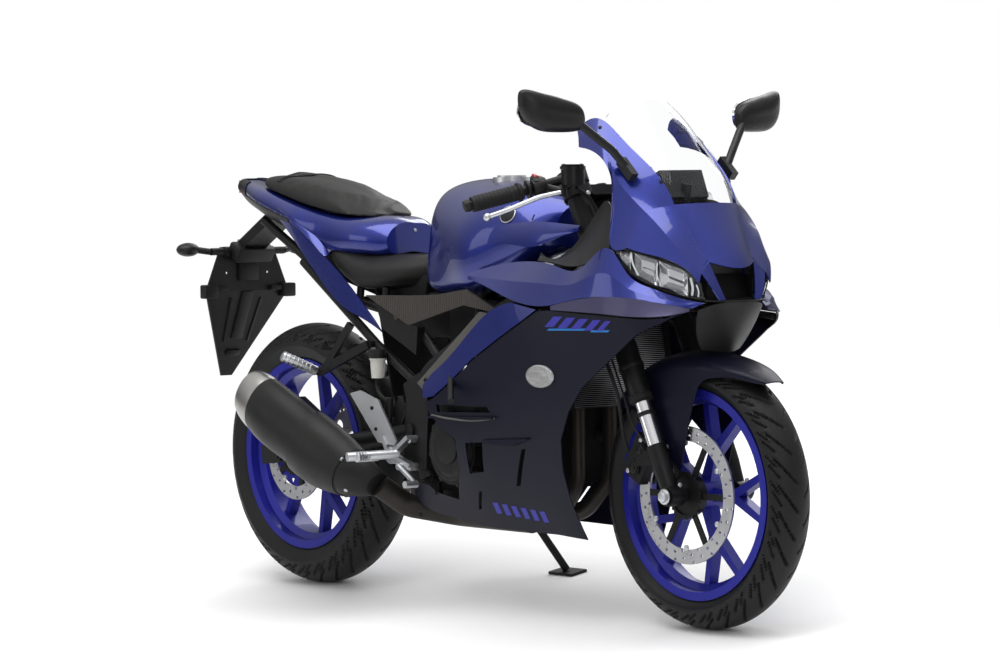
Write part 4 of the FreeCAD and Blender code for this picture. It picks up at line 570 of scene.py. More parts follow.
def makeHead(kind):
    sides, height = boltHeads[kind]
    head = addCylinder(sides, 1.0, height)
    head.location.z = height / 2 - 0.05
    bpy.ops.object.transform_apply(location=True, rotation=False, scale=False)
    selectFaces(head, lambda centre, normal: normal.z > 0.9)
    if kind == "button":
        bpy.ops.mesh.inset(thickness=0.22, depth=0.16)
        bpy.ops.mesh.inset(thickness=0.34)
        bpy.ops.mesh.extrude_region_move(TRANSFORM_OT_translate={"value": (0, 0, -0.3)})
    else:
        bpy.ops.mesh.inset(thickness=0.12, depth=0.08)
    setMode("OBJECT")
    return head


def buildBolts():
    heads = {kind: makeHead(kind) for kind in boltHeads}
    for (body, kind, finishName), spots in boltSpots.items():
        copies = []
        for point, facing, radius in spots:
            copy = freshCopy(heads[kind])
            turn = facing.to_track_quat("Z", "Y").to_matrix().to_4x4()
            copy.matrix_world = Matrix.Translation(point / 1000) @ turn @ Matrix.Scale(radius / 1000, 4)
            copies.append(copy)
        settle(copies, "bolts_" + body + "_" + kind + "_" + finishName, finishName, body)
    for head in heads.values():
        bpy.data.objects.remove(head)


# tyres with their grooves
# a groove's shift in pitches, where it starts and ends across the crown, and its half width
treadDetail = {
    "pitches": 30, "around": 640, "crownSteps": 44, "depth": 5.2, "slant": 0.95, "bend": 0.007,
    "grooves": ((0.0, 0.07, 0.76, 3.0), (0.40, 0.56, 0.93, 2.6), (0.72, 0.64, 0.96, 2.4)),
}
tyreShapes = {
    "front": {"axleX": 689.68, "crown": 293.0, "width": 112.0, "bow": 58.0, "rim": 82.0},
    "rear": {"axleX": -690.0, "crown": 314.0, "width": 142.0, "bow": 73.0, "rim": 114.0},
}
rimRadius, beadRadius, flangeWall, tyreWall = 229.0, 216.0, 4.8, 9.0


def tyreLoop(shape):
    # the closed outline of the tyre's section, as (radius, y, share of the crown) all the way round
    bow, halfRim = shape["bow"], shape["rim"] / 2
    centre = shape["crown"] - bow
    crownEnd = math.asin(min(shape["width"] / 2 / bow, 0.96))
    edge = (centre + bow * math.cos(crownEnd), bow * math.sin(crownEnd))
    inside = halfRim - flangeWall - 0.1
    loop = []
    for step in range(treadDetail["crownSteps"] + 1):
        share = -1 + 2 * step / treadDetail["crownSteps"]
        loop.append((centre + bow * math.cos(share * crownEnd), bow * math.sin(share * crownEnd), share))
    side = [
        (edge[0] - 4, edge[1] - 1.4), (rimRadius + 13, halfRim + 4), (rimRadius + 7, halfRim + 1),
        (rimRadius + 1, inside), (beadRadius + 0.3, inside), (beadRadius + 0.3, inside - 16),
        (rimRadius + 6, halfRim - 12), (edge[0] - 2, edge[1] - tyreWall),
    ]
    loop += [(r, y, None) for r, y in side]
    loop.append((shape["crown"] - tyreWall, 0.0, None))
    loop += [(r, -y, None) for r, y in reversed(side)]
    return loop, crownEnd


def grooveDepth(around, share, pitch, half):
    # how deep the tread is cut, in millimetres, at this share of the crown, which runs from -1 to 1
    reach = abs(share)
    out = reach * half
    bend = treadDetail["slant"] * out + treadDetail["bend"] * out * out
    deepest = 0.0
    for shift, low, high, width in treadDetail["grooves"]:
        if not low < reach < high:
            continue
        away = (around - bend - shift * pitch + (0 if share > 0 else pitch / 2)) % pitch
        away = min(away, pitch - away)
        taper = min(1.0, (reach - low) / 0.06, (high - reach) / 0.06)
        reachWide = width * 1.25 * taper
        if away < reachWide:
            deepest = max(deepest, taper * (1 - (away / reachWide) ** 8))
    return deepest * treadDetail["depth"]


def buildTyre(which, shape):
    loop, crownEnd = tyreLoop(shape)
    half = shape["bow"] * crownEnd
    rows = treadDetail["around"]
    tyre = addGrid(rows, len(loop))
    roundLength = 2 * math.pi * shape["crown"]
    pitch = roundLength / treadDetail["pitches"]
    for vertex in tyre.data.vertices:
        step = round((vertex.co.x + 0.5) * rows) % rows
        radius, y, share = loop[round((vertex.co.y + 0.5) * len(loop)) % len(loop)]
        if share is not None and abs(share) < 0.97:
            cut = grooveDepth(step / rows * roundLength, share, pitch, half)
            radius -= cut * math.cos(share * crownEnd)
            y -= cut * math.sin(share * crownEnd)
        angle = 2 * math.pi * step / rows
        x, z = shape["axleX"] + radius * math.cos(angle), shape["crown"] + radius * math.sin(angle)
        vertex.co = (x / 1000, y / 1000, z / 1000)
    closeSeams(tyre)
    node = which + "_tyre"
    settle([tyre], node + "_treaded", "tyreBlack", which + "_wheel", stands=(node,), smoothAngle=40)


for which, shape in tyreShapes.items():
    buildTyre(which, shape)
print("stage: tyres grooved")

# chain of alternating outer and inner links
chainDetail = {
    "pitch": 15.875, "line": 84.0, "front": (-96.0, 407.0, 38.18), "rear": (-690.0, 314.0, 108.72),
    "innerGap": 4.9, "plate": 1.7, "plateHalf": 6.6, "waist": 0.66, "roller": 5.0, "pin": 2.6,
}


def chainWalk():
    # points one pitch apart round both sprockets
    detail = chainDetail
    front, rear = Vector(detail["front"][:2]), Vector(detail["rear"][:2])
    small, large = detail["front"][2], detail["rear"][2]
    line = rear - front
    spread = math.acos((small - large) / line.length)
    heading = math.atan2(line.y, line.x)
    upper = heading - spread
    corners = []
    for k in range(36, -1, -1):
        angle = upper - (2 * math.pi - 2 * spread) * k / 36
        corners.append(front + small * Vector((math.cos(angle), math.sin(angle))))
    for k in range(73):
        angle = upper + 2 * spread * k / 72
        corners.append(rear + large * Vector((math.cos(angle), math.sin(angle))))
    corners.append(corners[0])
    lengths = [0.0]
    for a, b in zip(corners, corners[1:]):
        lengths.append(lengths[-1] + (b - a).length)
    count = int(round(lengths[-1] / detail["pitch"] / 2)) * 2
    points, leg = [], 0
    for k in range(count):
        wanted = lengths[-1] * k / count
        while lengths[leg + 1] < wanted:
            leg += 1
        share = (wanted - lengths[leg]) / (lengths[leg + 1] - lengths[leg])
        points.append(corners[leg].lerp(corners[leg + 1], share))
    return points


def makeLinkPlate():
    detail = chainDetail
    plate = addCylinder(16, detail["plateHalf"], detail["plate"])
    for vertex in plate.data.vertices:
        if abs(vertex.co.x) < 0.1:
            vertex.co.y *= detail["waist"]
        else:
            vertex.co.x += math.copysign(detail["pitch"] / 2, vertex.co.x)
    return plate


def buildChain():
    detail = chainDetail
    points = chainWalk()
    plate = makeLinkPlate()
    roller = addCylinder(10, detail["roller"], 2 * detail["innerGap"])
    pin = addCylinder(8, detail["pin"], 2 * (detail["innerGap"] + 2 * detail["plate"]) + 1)
    copies = []
    layFlat = Matrix.Rotation(math.radians(90), 4, "X")
    for index, (a, b) in enumerate(zip(points, points[1:] + points[:1])):
        middle, along = (a + b) / 2, b - a
        turn = Matrix.Rotation(-math.atan2(along.y, along.x), 4, "Y")
        outer = detail["innerGap"] + detail["plate"] * (0.5 if index % 2 else 1.55)
        for model, spot, offset in (
            (plate, middle, -outer), (plate, middle, outer), (roller, a, 0.0), (pin, a, 0.0),
        ):
            copy = freshCopy(model)
            place = Matrix.Translation(Vector((spot.x, detail["line"] + offset, spot.y)) / 1000)
            copy.matrix_world = place @ turn @ layFlat @ Matrix.Scale(0.001, 4)
            copies.append(copy)
    settle(copies, "chain_links", "chainSteel", stands=("drive_chain",))
    for model in (plate, roller, pin):
        bpy.data.objects.remove(model)


buildChain()
print("stage: chain linked")

# seats: padded cushions blown up a little
seatDetail = {"shrink": 0.0028, "cap": 0.006, "voxel": 0.006, "pressure": 4.0, "frames": 20, "heldShare": 0.3}


def buildSeat(node):
    detail = seatDetail
    seat = copyOfNode(node)
    seat.name = node + "_padded"
    closeSeams(seat, 0.0001)
    addModifier(seat, "REMESH", mode="VOXEL", voxel_size=detail["voxel"])
    applyAll(seat)
    starts = [vertex.co.copy() for vertex in seat.data.vertices]
    for vertex, normal in zip(seat.data.vertices, [v.normal.copy() for v in seat.data.vertices]):
        vertex.co -= normal * detail["shrink"]
    held = seat.vertex_groups.new(name="held")
    low = min(point.z for point in starts)
    heldTop = low + detail["heldShare"] * (max(point.z for point in starts) - low)
    held.add([i for i, point in enumerate(starts) if point.z < heldTop], 1.0, "REPLACE")
    cloth = seat.modifiers.new("padding", "CLOTH")
    cloth.settings.use_pressure = True
    cloth.settings.uniform_pressure_force = detail["pressure"]
    cloth.settings.effector_weights.gravity = 0.0
    cloth.settings.vertex_group_mass = "held"
    cloth.point_cache.frame_start = 1
    cloth.point_cache.frame_end = detail["frames"]
    for step in range(1, detail["frames"] + 1):
        bpy.context.scene.frame_set(step)
    pick(seat)
    bpy.ops.object.modifier_apply(modifier=cloth.name)
    bpy.context.scene.frame_set(1)
    for vertex, start in zip(seat.data.vertices, starts):
        move = vertex.co - start
        if move.length > detail["cap"]:
            vertex.co = start + move.normalized() * detail["cap"]
    addModifier(seat, "SMOOTH", factor=0.5, iterations=3)
    addModifier(seat, "SUBSURF", levels=1, render_levels=1)
    applyAll(seat)
    return seat


def finishSeat(seat, node):
    pick(seat)
    bpy.ops.object.shade_smooth()
    seat.data.materials.clear()
    seat.data.materials.append(finishes["seatBlack"])
    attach(seat, "chassis")
    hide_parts(node)


for seatNode in ("front_seat", "rear_seat"):
    finishSeat(buildSeat(seatNode), seatNode)
print("stage: seats padded")

# front brake, fork and axle; the fork's line leans back as it rises
frontAxle = Vector((689.68, 0.0, 293.0))
rearAxle = Vector((-690.0, 0.0, 314.0))
leftward = Vector((0, 1, 0))
steerUp = Vector((-0.4226, 0.0, 0.9063))
steerAhead = Vector((0.9063, 0.0, 0.4226))
forkDetail = {
    "foot": 820.3, "head": 785.0, "slope": 0.4663, "half": 98.0, "capAt": 985.0, "seal": (492.0, 506.0, 27.2),
    "nutRadius": 13.0, "axleEnd": 124.0, "clamps": (776.0, 802.0, 928.0), "clips": (460, 560, 660, 740),
}
forkHalf = forkDetail["half"]


def forkAt(height, y, ahead=0.0):
    return Vector((forkDetail["foot"] - forkDetail["slope"] * height, y, height)) + steerAhead * ahead


def wheelRing(axle, y, radius, count, turn):
    angles = [math.radians(turn) + 2 * math.pi * k / count for k in range(count)]
    return [Vector((axle.x + radius * math.cos(a), y, axle.z + radius * math.sin(a))) for a in angles]


def buildForkTrim():
    detail = forkDetail
    cap = [forkAt(detail["capAt"], forkHalf) + steerUp * rise for rise in (0, 7, 13, 17)]
    caps = [(cap[0], cap[1], 22, 32), (cap[1], cap[2], 13, 6, None, 1.0), (cap[2], cap[3], 5, 16)]
    settle(mirroredRods(caps), "fork_caps", "castAluminium", "steering")
    low, high = (forkAt(height, forkHalf) for height in detail["seal"][:2])
    seals = [(low, high, detail["seal"][2], 40, None, 2.0), (low - steerUp * 3, low, 23, 40)]
    settle(mirroredRods(seals), "fork_dust_seals", "gripRubber", "steering")
    rightEnd, leftEnd = frontAxle - leftward * detail["axleEnd"], frontAxle + leftward * detail["axleEnd"]
    nuts = [
        addRod(rightEnd, rightEnd - leftward * 9, detail["nutRadius"], 6),
        addRod(rightEnd + leftward, rightEnd - leftward * 2, 17, 28),
        addRod(leftEnd - leftward, leftEnd + leftward * 6, 14, 6),
    ]
    settle(nuts, "front_axle_nuts", "castAluminium", "steering")
    for side in (-1, 1):
        for height in detail["clamps"]:
            finishName = "forkBlack" if height < 900 else "castAluminium"
            addBolt(forkAt(height, side * forkHalf, 33), steerAhead, 5, "steering", finishName)
        addBolt((frontAxle.x + 20, side * 98, 318), (1, 0, 0.2), 5, "steering", "castAluminium")
        spacerX = forkAt(390, 0).x + 7.3
        for x, z in ((spacerX, 396), (spacerX - 14, 350)):
            seen = hitSurface(["front_fender"], (x, side * 400, z), (0, -side, 0))
            if seen:
                addBolt(seen[0], seen[1], 5.5, "steering", "castAluminium")


buildForkTrim()

discDetail = {
    "front": {"axle": frontAxle, "y": -61.8, "radius": 113.0, "count": 6, "turn": 30},
    "rear": {"axle": rearAxle, "y": -77.8, "radius": 74.0, "count": 5, "turn": 18},
}


def buildDiscTrim():
    for which, detail in discDetail.items():
        buttons = []
        body = which + "_wheel"
        for spot in wheelRing(detail["axle"], detail["y"], detail["radius"], detail["count"], detail["turn"]):
            buttons.append(addRod(spot + leftward * 2.5, spot - leftward * 1.8, 6.2, 20))
            buttons.append(addRod(spot - leftward * 1.8, spot - leftward * 2.8, 3.4, 16, bevel=0.4))
        settle(buttons, which + "_disc_buttons", "castAluminium", body)
        for spot in wheelRing(detail["axle"], detail["y"] + 6, 30, 6, 15):
            addBolt(spot, -leftward, 4.5, body, "castAluminium")


buildDiscTrim()

toneRing = {"teeth": 96, "inner": 0.043, "outerShare": 1.22, "edge": 0.048, "notch": 0.93, "thick": 0.0018}


def buildToneRings():
    # slotted rings that the wheel speed sensors read
    for which, axle, y in (("front", frontAxle, -66.0), ("rear", rearAxle, -82.0)):
        clearSelection()
        bpy.ops.mesh.primitive_circle_add(vertices=toneRing["teeth"], radius=toneRing["inner"])
        ring = bpy.context.object
        pick(ring)
        setMode("EDIT")
        bpy.ops.mesh.select_all(action="SELECT")
        bpy.ops.mesh.extrude_region_move()
        bpy.ops.transform.resize(value=(toneRing["outerShare"], toneRing["outerShare"], 1.0))
        setMode("OBJECT")
        for vertex in ring.data.vertices:
            reach = math.hypot(vertex.co.x, vertex.co.y)
            step = round(math.atan2(vertex.co.y, vertex.co.x) / (2 * math.pi) * toneRing["teeth"])
            if reach > toneRing["edge"] and step % 3 == 0:
                vertex.co.x *= toneRing["notch"]
                vertex.co.y *= toneRing["notch"]
        addModifier(ring, "SOLIDIFY", thickness=toneRing["thick"])
        ring.rotation_euler = (math.radians(90), 0, 0)
        ring.location = Vector((axle.x, y, axle.z)) / 1000
        settle([ring], which + "_tone_ring", "forkBlack", which + "_wheel")


buildToneRings()

brakeDetail = {"turn": 148, "reach": 139, "face": -93.25, "pistons": (-22, 22), "bolts": (-40, 40)}
brakeHose = (
    forkAt(520, -134, -30), forkAt(620, -132, -28), forkAt(690, -122, 6), forkAt(760, -96, 33),
    forkAt(850, -90, 34), forkAt(905, -98, 37), (440, -128, 940), (448, -158, 954),
)
sensorCable = (
    frontAxle + Vector((-20, -72, 37)), frontAxle + Vector((-46, -86, 79)), forkAt(440, -118, -24),
    forkAt(520, -124, -22), forkAt(640, -122, -26), forkAt(770, -120, -20),
)


def buildFrontBrake():
    # caliper face, its bolts, the hose up the leg and the thin sensor cable beside it
    turn, face = math.radians(brakeDetail["turn"]), leftward * brakeDetail["face"]
    out = Vector((math.cos(turn), 0, math.sin(turn)))
    across = Vector((-math.sin(turn), 0, math.cos(turn)))
    centre = frontAxle + out * brakeDetail["reach"]
    parts = []
    for shift in brakeDetail["pistons"]:
        spot = centre + across * shift + face - leftward * 4
        parts.append(addRod(spot, spot - leftward * 3, 13.5, 28, endRadius=12))
        parts.append(addRod(spot - leftward * 3, spot - leftward * 5, 7, 20))
    bridge = centre + out * 12 + face + leftward * 6
    parts.append(addRod(bridge - across * 40, bridge + across * 40, 5, 16))
    settle(parts, "front_caliper_caps", "forkBlack", "steering")
    for shift in brakeDetail["bolts"]:
        addBolt(centre + across * shift + out * 14 + face, -leftward, 5.5, "steering", "castAluminium")
    joint = centre + out * 24 + across * 22 + face + leftward * 14
    banjo = [
        addRod(joint - leftward * 5, joint + leftward * 5, 9, 20),
        addRod(joint - leftward * 8, joint - leftward * 5, 6, 6),
    ]
    settle(banjo, "front_hose_joint", "castAluminium", "steering")
    hose = addHose([joint, joint + Vector((-18, -4, 34)), *brakeHose], 4.2, 12)
    settle([hose], "front_brake_hose", "gripRubber", "steering")
    settle([addHose(sensorCable, 2.4, 8)], "front_sensor_cable", "gripRubber", "steering")
    clips = []
    for height in forkDetail["clips"]:
        low = forkAt(height, -forkHalf)
        clips.append(addRod(low, low + steerUp * 9, 28.5 if height > 497 else 21.5, 32, bevel=0.6))
    settle(clips, "hose_clips", "trimBlack", "steering")


buildFrontBrake()
print("stage: fork, disc and brake trimmed")

# bars: switches, master cylinder, cap screws and grip ends
barDetail = {"gripInner": (365, 225, 950), "gripEnd": (312, 345, 918), "can": (451.5, 170, 960)}


def buildBarTrim():
    inner, end = Vector(barDetail["gripInner"]), Vector(barDetail["gripEnd"])
    along = (end - inner).normalized()
    collar = (inner - along * 3, inner + along * 3, 21, 32, None, 1.2)
    weights = [(end + along, end + along * 14, 14, 28, 12, 1.5), collar]
    settle(mirroredRods(weights), "bar_ends", "trimBlack", "steering")
    spots = [inner + (end - inner) * (0.1 + 0.84 * k / 13) for k in range(13)]
    ridges = [(spot, spot + along * 4.6, 17.9, 28, None, 0.7) for spot in spots]
    settle(mirroredRods(ridges), "grip_ridges", "gripRubber", "steering")

    def switches(side):
        flip = Vector((1, side, 1))
        low, high = (inner - along * 10) * flip, (inner - along * 42) * flip
        box = addSlab((low + high) / 2 + Vector((-6, 0, 3)), (34, 28, 36), (0, 20, side * 22), 4)
        return [addRod(low, high, 19.5, 28, bevel=3), box]

    settle(bothSides(switches), "bar_switches", "trimBlack", "steering")
    knob = (inner - along * 26) * Vector((1, -1, 1)) + Vector((-12, 0, 22))
    settle([addSlab(knob, (18, 14, 9), (0, 20, -22), 2)], "stop_switch", "lampRed", "steering")
    can = Vector(barDetail["can"]) * Vector((1, -1, 1))
    lid = [addRod(can + Vector((-1, 0, 41)), can + Vector((-1, 0, 45)), 25, 32, bevel=1.2)]
    for angle in (45, 225):
        spot = can + Vector((-1 + 19 * math.cos(math.radians(angle)), 19 * math.sin(math.radians(angle)), 45))
        addBolt(spot, (0, 0, 1), 3, "steering", "castAluminium")
    settle(lid, "fluid_can_lid", "trimBlack", "steering")
    key = Vector((forkDetail["head"] - forkDetail["slope"] * 945, 0, 945))
    plug = key + steerUp * 12
    lock = [addRod(key, plug, 19, 32, bevel=1.5), addRod(plug, plug + steerUp * 3, 11, 24)]
    settle(lock, "steering_lock", "trimBlack", "steering")


buildBarTrim()
print("stage: bars trimmed")

# radiator fins and hoses
radiatorDetail = {
    "low": (412.5, 0, 474), "high": (390.5, 0, 656), "fins": 44, "width": 276.0,
    "hoses": (
        ((372, -150, 640), (362, -168, 610), (330, -150, 590), (270, -110, 600), (230, -84, 610)),
        ((396, 150, 490), (372, 160, 460), (320, 140, 430), (250, 110, 400), (190, 96, 390)),
    ),
    "bands": (((371, -158, 626), (364, -163, 616)), ((252, -98, 606), (240, -90, 608))),
}


def buildRadiator():
    low, high = Vector(radiatorDetail["low"]), Vector(radiatorDetail["high"])
    rise = (high - low) / (radiatorDetail["fins"] - 1)
    fin = addSlab(low, (5, radiatorDetail["width"], 1.1), bevel=0)
    bpy.ops.object.transform_apply(location=False, rotation=False, scale=True)
    addModifier(
        fin, "ARRAY", count=radiatorDetail["fins"], use_relative_offset=False, use_constant_offset=True,
        constant_offset_displace=rise / 1000,
    )
    settle([fin], "radiator_fins", "castAluminium")
    hoses = [addHose(points, 15, 16) for points in radiatorDetail["hoses"]]
    settle(hoses, "radiator_hoses", "gripRubber")
    bands = [addRod(start, end, 17, 28) for start, end in radiatorDetail["bands"]]
    settle(bands, "hose_bands", "castAluminium")


buildRadiator()

# engine: the round side covers with their rims, ribs and bolts
engineDetail = {
    "clutch": {"centre": (10, -158, 365), "radius": 82.0, "side": -1},
    "alternator": {"centre": (90, 150, 360), "radius": 66.0, "side": 1},
}


def buildEngineCovers():
    for name, detail in engineDetail.items():
        centre, radius, side = Vector(detail["centre"]), detail["radius"], detail["side"]
        out = Vector((0, side, 0))
        parts = [
            addRod(centre - out * 8, centre + out * 5, radius - 4, 64, endRadius=radius - 9, bevel=2),
            addRod(centre + out * 5, centre + out * 12, radius - 16, 64, endRadius=radius - 26, bevel=2),
            addRod(centre + out * 12, centre + out * 16, radius * 0.42, 48, bevel=1.5),
        ]
        for angle in range(0, 360, 45):
            way = Vector((math.cos(math.radians(angle + 12)), 0, math.sin(math.radians(angle + 12))))
            spot = centre + way * (radius - 1) - out * 12
            parts.append(addRod(spot - out * 8, spot + out * 9, 8, 20))
            addBolt(spot + out * 9, out, 5, "chassis", "engineBlack", "hex")
            mid = centre + way * radius * 0.52 + out * 10
            parts.append(addSlab(mid, (radius * 0.34, 5, 4), (0, -(angle + 12), 0), 1))
        settle(parts, name + "_cover", "engineBlack")
    fins = []
    for k in range(7):
        share = 0.12 + 0.12 * k
        place = Vector((110, 0, 420)).lerp(Vector((190, 0, 640)), share)
        fins.append(addSlab(place, (178, 196, 3), (0, 20, 0), 0.8))
    settle(fins, "cylinder_ribs", "engineBlack")


buildEngineCovers()
print("stage: radiator and engine dressed")

# headlights: a dark housing, two chrome bowls and light strips behind the clear covers
lampRows = (
    ((606, 190, 822), (608, 191, 817), (610, 191, 812)), ((648, 181, 819), (652, 184, 795), (650, 182, 771)),
    ((700, 161, 805), (704, 162, 775), (697, 158, 744)), ((751, 130, 785), (752, 132, 755), (742, 122, 725)),
    ((782, 102, 744), (782, 96, 728), (779, 88, 713)),
)
# each light strip: its radius, then its places along, down and deep
lampStrips = (
    (2.6, (3.45, 0.2, 10), (3.52, 1.0, 10), (3.46, 1.75, 10)),
    (1.6, (3.72, 0.4, 10), (3.78, 1.1, 10), (3.72, 1.7, 10)),
    (2.0, (1.0, 0.15, 10), (1.05, 1.0, 11), (1.3, 1.85, 10)),
    (1.4, (2.1, 0.3, 11), (2.04, 1.0, 12), (2.2, 1.8, 11)),
)


def lampPoint(side, along, down, depth):
    # along runs from 0 at the back to 4 at the front, down from 0 at the top to 2
    row, rest = min(int(along), 3), along - min(int(along), 3)
    column, part = min(int(down), 1), down - min(int(down), 1)
    back = Vector(lampRows[row][column]).lerp(Vector(lampRows[row][column + 1]), part)
    front = Vector(lampRows[row + 1][column]).lerp(Vector(lampRows[row + 1][column + 1]), part)
    place = back.lerp(front, rest)
    return Vector((place.x - 0.5 * depth, side * (place.y - 0.85 * depth), place.z))


def lampPatch(side, alongs, downs, depthAt, columns=28, rows=14):
    patch = addGrid(columns, rows)
    for vertex in patch.data.vertices:
        s, t = vertex.co.x + 0.5, vertex.co.y + 0.5
        along = alongs[0] + (alongs[1] - alongs[0]) * s
        down = downs[0] + (downs[1] - downs[0]) * t
        vertex.co = lampPoint(side, along, down, depthAt(s, t)) / 1000
    addModifier(patch, "SOLIDIFY", thickness=0.0012)
    return patch


def bowlDepth(s, t):
    rim = min(1.0, 4.5 * min(s, 1 - s, t, 1 - t))
    return 10.5 + 15 * rim + 1.3 * (int(t * 9) % 2) * rim


def housingDepth(s, t):
    return 9.5 + 19 * min(1.0, 9 * min(s, 1 - s, t, 1 - t))


def buildHeadlights():
    # the housing's near-black is partly black plastic and partly painted shade inside the lamp
    settle(bothSides(lambda side: [lampPatch(side, (0.05, 3.97), (0.02, 1.98), housingDepth)]),
           "headlight_housings", "innerDark", stands=("headlight_units",))

    def bowls(side):
        return [
            lampPatch(side, (1.15, 2.1), (0.1, 1.9), bowlDepth),
            lampPatch(side, (2.16, 3.3), (0.12, 1.9), bowlDepth),
            lampPatch(side, (0.35, 0.95), (0.25, 1.8), bowlDepth, 10, 8),
        ]

    settle(bothSides(bowls), "headlight_reflectors", "lampChrome", smoothAngle=50)

    def strips(side):
        return [addHose([lampPoint(side, *spot) for spot in spots], radius) for radius, *spots in lampStrips]

    settle(bothSides(strips), "headlight_strips", "lightPipe")

    def gaskets(side):
        edges = [[lampPoint(side, k, down, 8.5) for k in (0.1, 1, 2, 3, 3.9)] for down in (0.0, 2.0)]
        return [addHose(points, 2.2) for points in edges]

    settle(bothSides(gaskets), "headlight_gaskets", "gripRubber")


buildHeadlights()

# the parts behind the panels that show through the gaps; the near-black ones are partly black parts and partly
# painted shade of the interior
level = (0, 0, 0)
innerSlabs = {
    "lamp_carrier": ("innerDark", ((650, 0, 735), (130, 180, 96), level, 6)),
    "intake_box": (
        "innerDark", ((742, 0, 738), (5, 134, 78), (0, -18, 0), 1), ((753, 66, 736), (26, 3, 62), level, 1),
        ((753, -66, 736), (26, 3, 62), level, 1),
    ),
    "meter_stay": ("innerDark", ((612, 0, 904), (8, 150, 44), level, 2)),
    "air_box": (
        "engineBlack", ((10, 0, 635), (230, 150, 136), level, 14),
        ((-160, 0, 660), (150, 140, 106), level, 10),
    ),
    "crankcase_top": ("engineBlack", ((-22, 0, 478), (214, 176, 88), level, 12)),
    "battery_tray": ("innerDark", ((-380, 0, 752), (400, 150, 96), (0, 14, 0), 8)),
    "splash_guard": ("innerDark", ((-318, 0, 600), (6, 190, 270), (0, -14, 0), 2)),
    "lower_crankcase": (
        "engineBlack", ((-76, -8, 249), (112, 134, 72), level, 10),
        ((-205, -10, 266), (112, 120, 66), level, 10),
    ),
    "lower_duct": ("innerDark", ((214, 0, 380), (6, 290, 190), (0, 6, 0), 2)),
}
for slabName, (slabFinish, *slabs) in innerSlabs.items():
    settle([addSlab(*slab) for slab in slabs], slabName, slabFinish)


def onSkin(u, v, nodeNames, lift):
    seen = seenInPhoto(u, v, nodeNames)
    return None if seen is None else seen[0] + seen[1] * lift


def seamLine(pixels, nodeNames, lift, radius, name, finishName):
    # a held line over or under the skin through these places of the photograph
    points = [place for place in (onSkin(u, v, nodeNames, lift) for u, v in pixels) if place is not None]
    if len(points) < 2:
        print("no line for", name)
        return
    others = [otherSide(place) for place in points]
    settle([addHose(points, radius, 8), addHose(others, radius, 8)], name, finishName)


flankNodes = ["side_cowl_right", "accent_panels", "upper_panels"]
rearSeam = [(440, 389), (456, 376), (466, 368), (478, 359), (492, 348), (506, 337), (520, 327), (540, 314)]
upperSeam = [(546, 315), (568, 315), (590, 317), (620, 320), (660, 322), (690, 319)]
ledge = [(432, 415), (450, 418.5), (472, 420.5), (494, 418.5)]
# dark tubes sunk under the panel seams: painted shade in the gaps between the panels
seamLine(rearSeam, flankNodes[:1], -16, 15, "seam_shade_rear", "innerDark")
seamLine(upperSeam, flankNodes, -9, 8, "seam_shade_upper", "innerDark")
# a grey line on the side cowl's shelf edge: painted highlight of the lit ledge
seamLine(ledge, flankNodes[:1], 1.2, 2.4, "cowl_ledge_highlight", "coverGrey")
print("stage: headlights and inner parts built")

# instrument face, mirror glass, muffler end
mirrorDetail = {
    "place": (507.4, 302, 1114), "size": (6, 62, 33), "turns": (8, 0, 10.8), "squareness": 0.75,
}


def buildSmallFittings():
    settle([addSlab((598, 0, 953), (3, 112, 50), (0, -22, 0), 3)], "instrument_screen", "panelGlass")
    thick, halfWidth, halfHeight = mirrorDetail["size"]

    def glass(side):
        plate = addCylinder(40, 0.5, 1)
        for vertex in plate.data.vertices:
            across = math.copysign(abs(2 * vertex.co.x) ** mirrorDetail["squareness"], vertex.co.x)
            up = math.copysign(abs(2 * vertex.co.y) ** mirrorDetail["squareness"], vertex.co.y)
            vertex.co = Vector((vertex.co.z * thick, across * halfWidth * -side, up * halfHeight)) / 1000
        x, y, z = mirrorDetail["place"]
        plate.location = Vector((x, side * y, z)) / 1000
        plate.rotation_euler = [math.radians(side * turn) for turn in mirrorDetail["turns"]]
        return [plate]

    settle(bothSides(glass), "mirror_glass", "mirrorGlass")
    settle([
        addRod((-664.5, -228, 469), (-668, -228, 470.7), 34, 40),
        addRod((-650, -228, 462), (-672, -228, 472.6), 17, 32),
    ], "muffler_outlet", "exhaustTip")
    # a thin near-black disc on the outlet's end: painted shade standing in for the open bore
    settle([addRod((-672, -228, 472.8), (-672.6, -228, 473.1), 13, 32, bevel=0)], "muffler_bore_shade", "innerDark")


buildSmallFittings()


# tail: black end and underside, seam of the rear seat, hanger box and wings, pegs, rear brake parts
def tailCover():
    cover = copyOfNode("tail_cowl")
    closeSeams(cover)
    cover.data.transform(leanBack)

    def outside(centre, normal):
        x, z = centre.x * 1000, centre.z * 1000
        under = normal.z < -0.25 and x < -640 and z < 945
        return not (x < -893 or under) or normal.z > 0.97 and x > -930 or abs(normal.x) > 0.9

    selectFaces(cover, outside)
    bpy.ops.mesh.delete(type="FACE")
    bpy.ops.mesh.select_all(action="SELECT")
    bpy.ops.mesh.normals_make_consistent(inside=False)
    setMode("OBJECT")
    addModifier(cover, "SOLIDIFY", thickness=0.0022, offset=1.0)
    settle([cover], "tail_end_cover", "trimBlack")


shoulderRows = (
    ((-700, 118, 910), 3), ((-660, 126, 892), 6), ((-620, 130.6, 869), 9), ((-580, 132.5, 846), 14),
    ((-545, 134, 825), 18), ((-515, 134.9, 806), 12), ((-492, 135.6, 791), 4),
)


def buildShoulders(side):
    # the narrow blue panel between the tail's flank and its lower band
    steps = len(shoulderRows) - 1
    panel = addGrid(steps, 1)
    for vertex in panel.data.vertices:
        (x, y, z), rise = shoulderRows[round((vertex.co.x + 0.5) * steps)]
        if vertex.co.y > 0:
            seen = hitSurface(["tail_cowl"], (x, -400, z + rise), (0, 1, 0))
            y, z = (-seen[0].y + 0.4 if seen else 112), z + rise
        vertex.co = Vector((x, side * y, z)) / 1000
    closeSeams(panel)
    addModifier(panel, "SOLIDIFY", thickness=0.002)
    addModifier(panel, "SUBSURF", levels=2, render_levels=2)
    return [panel]


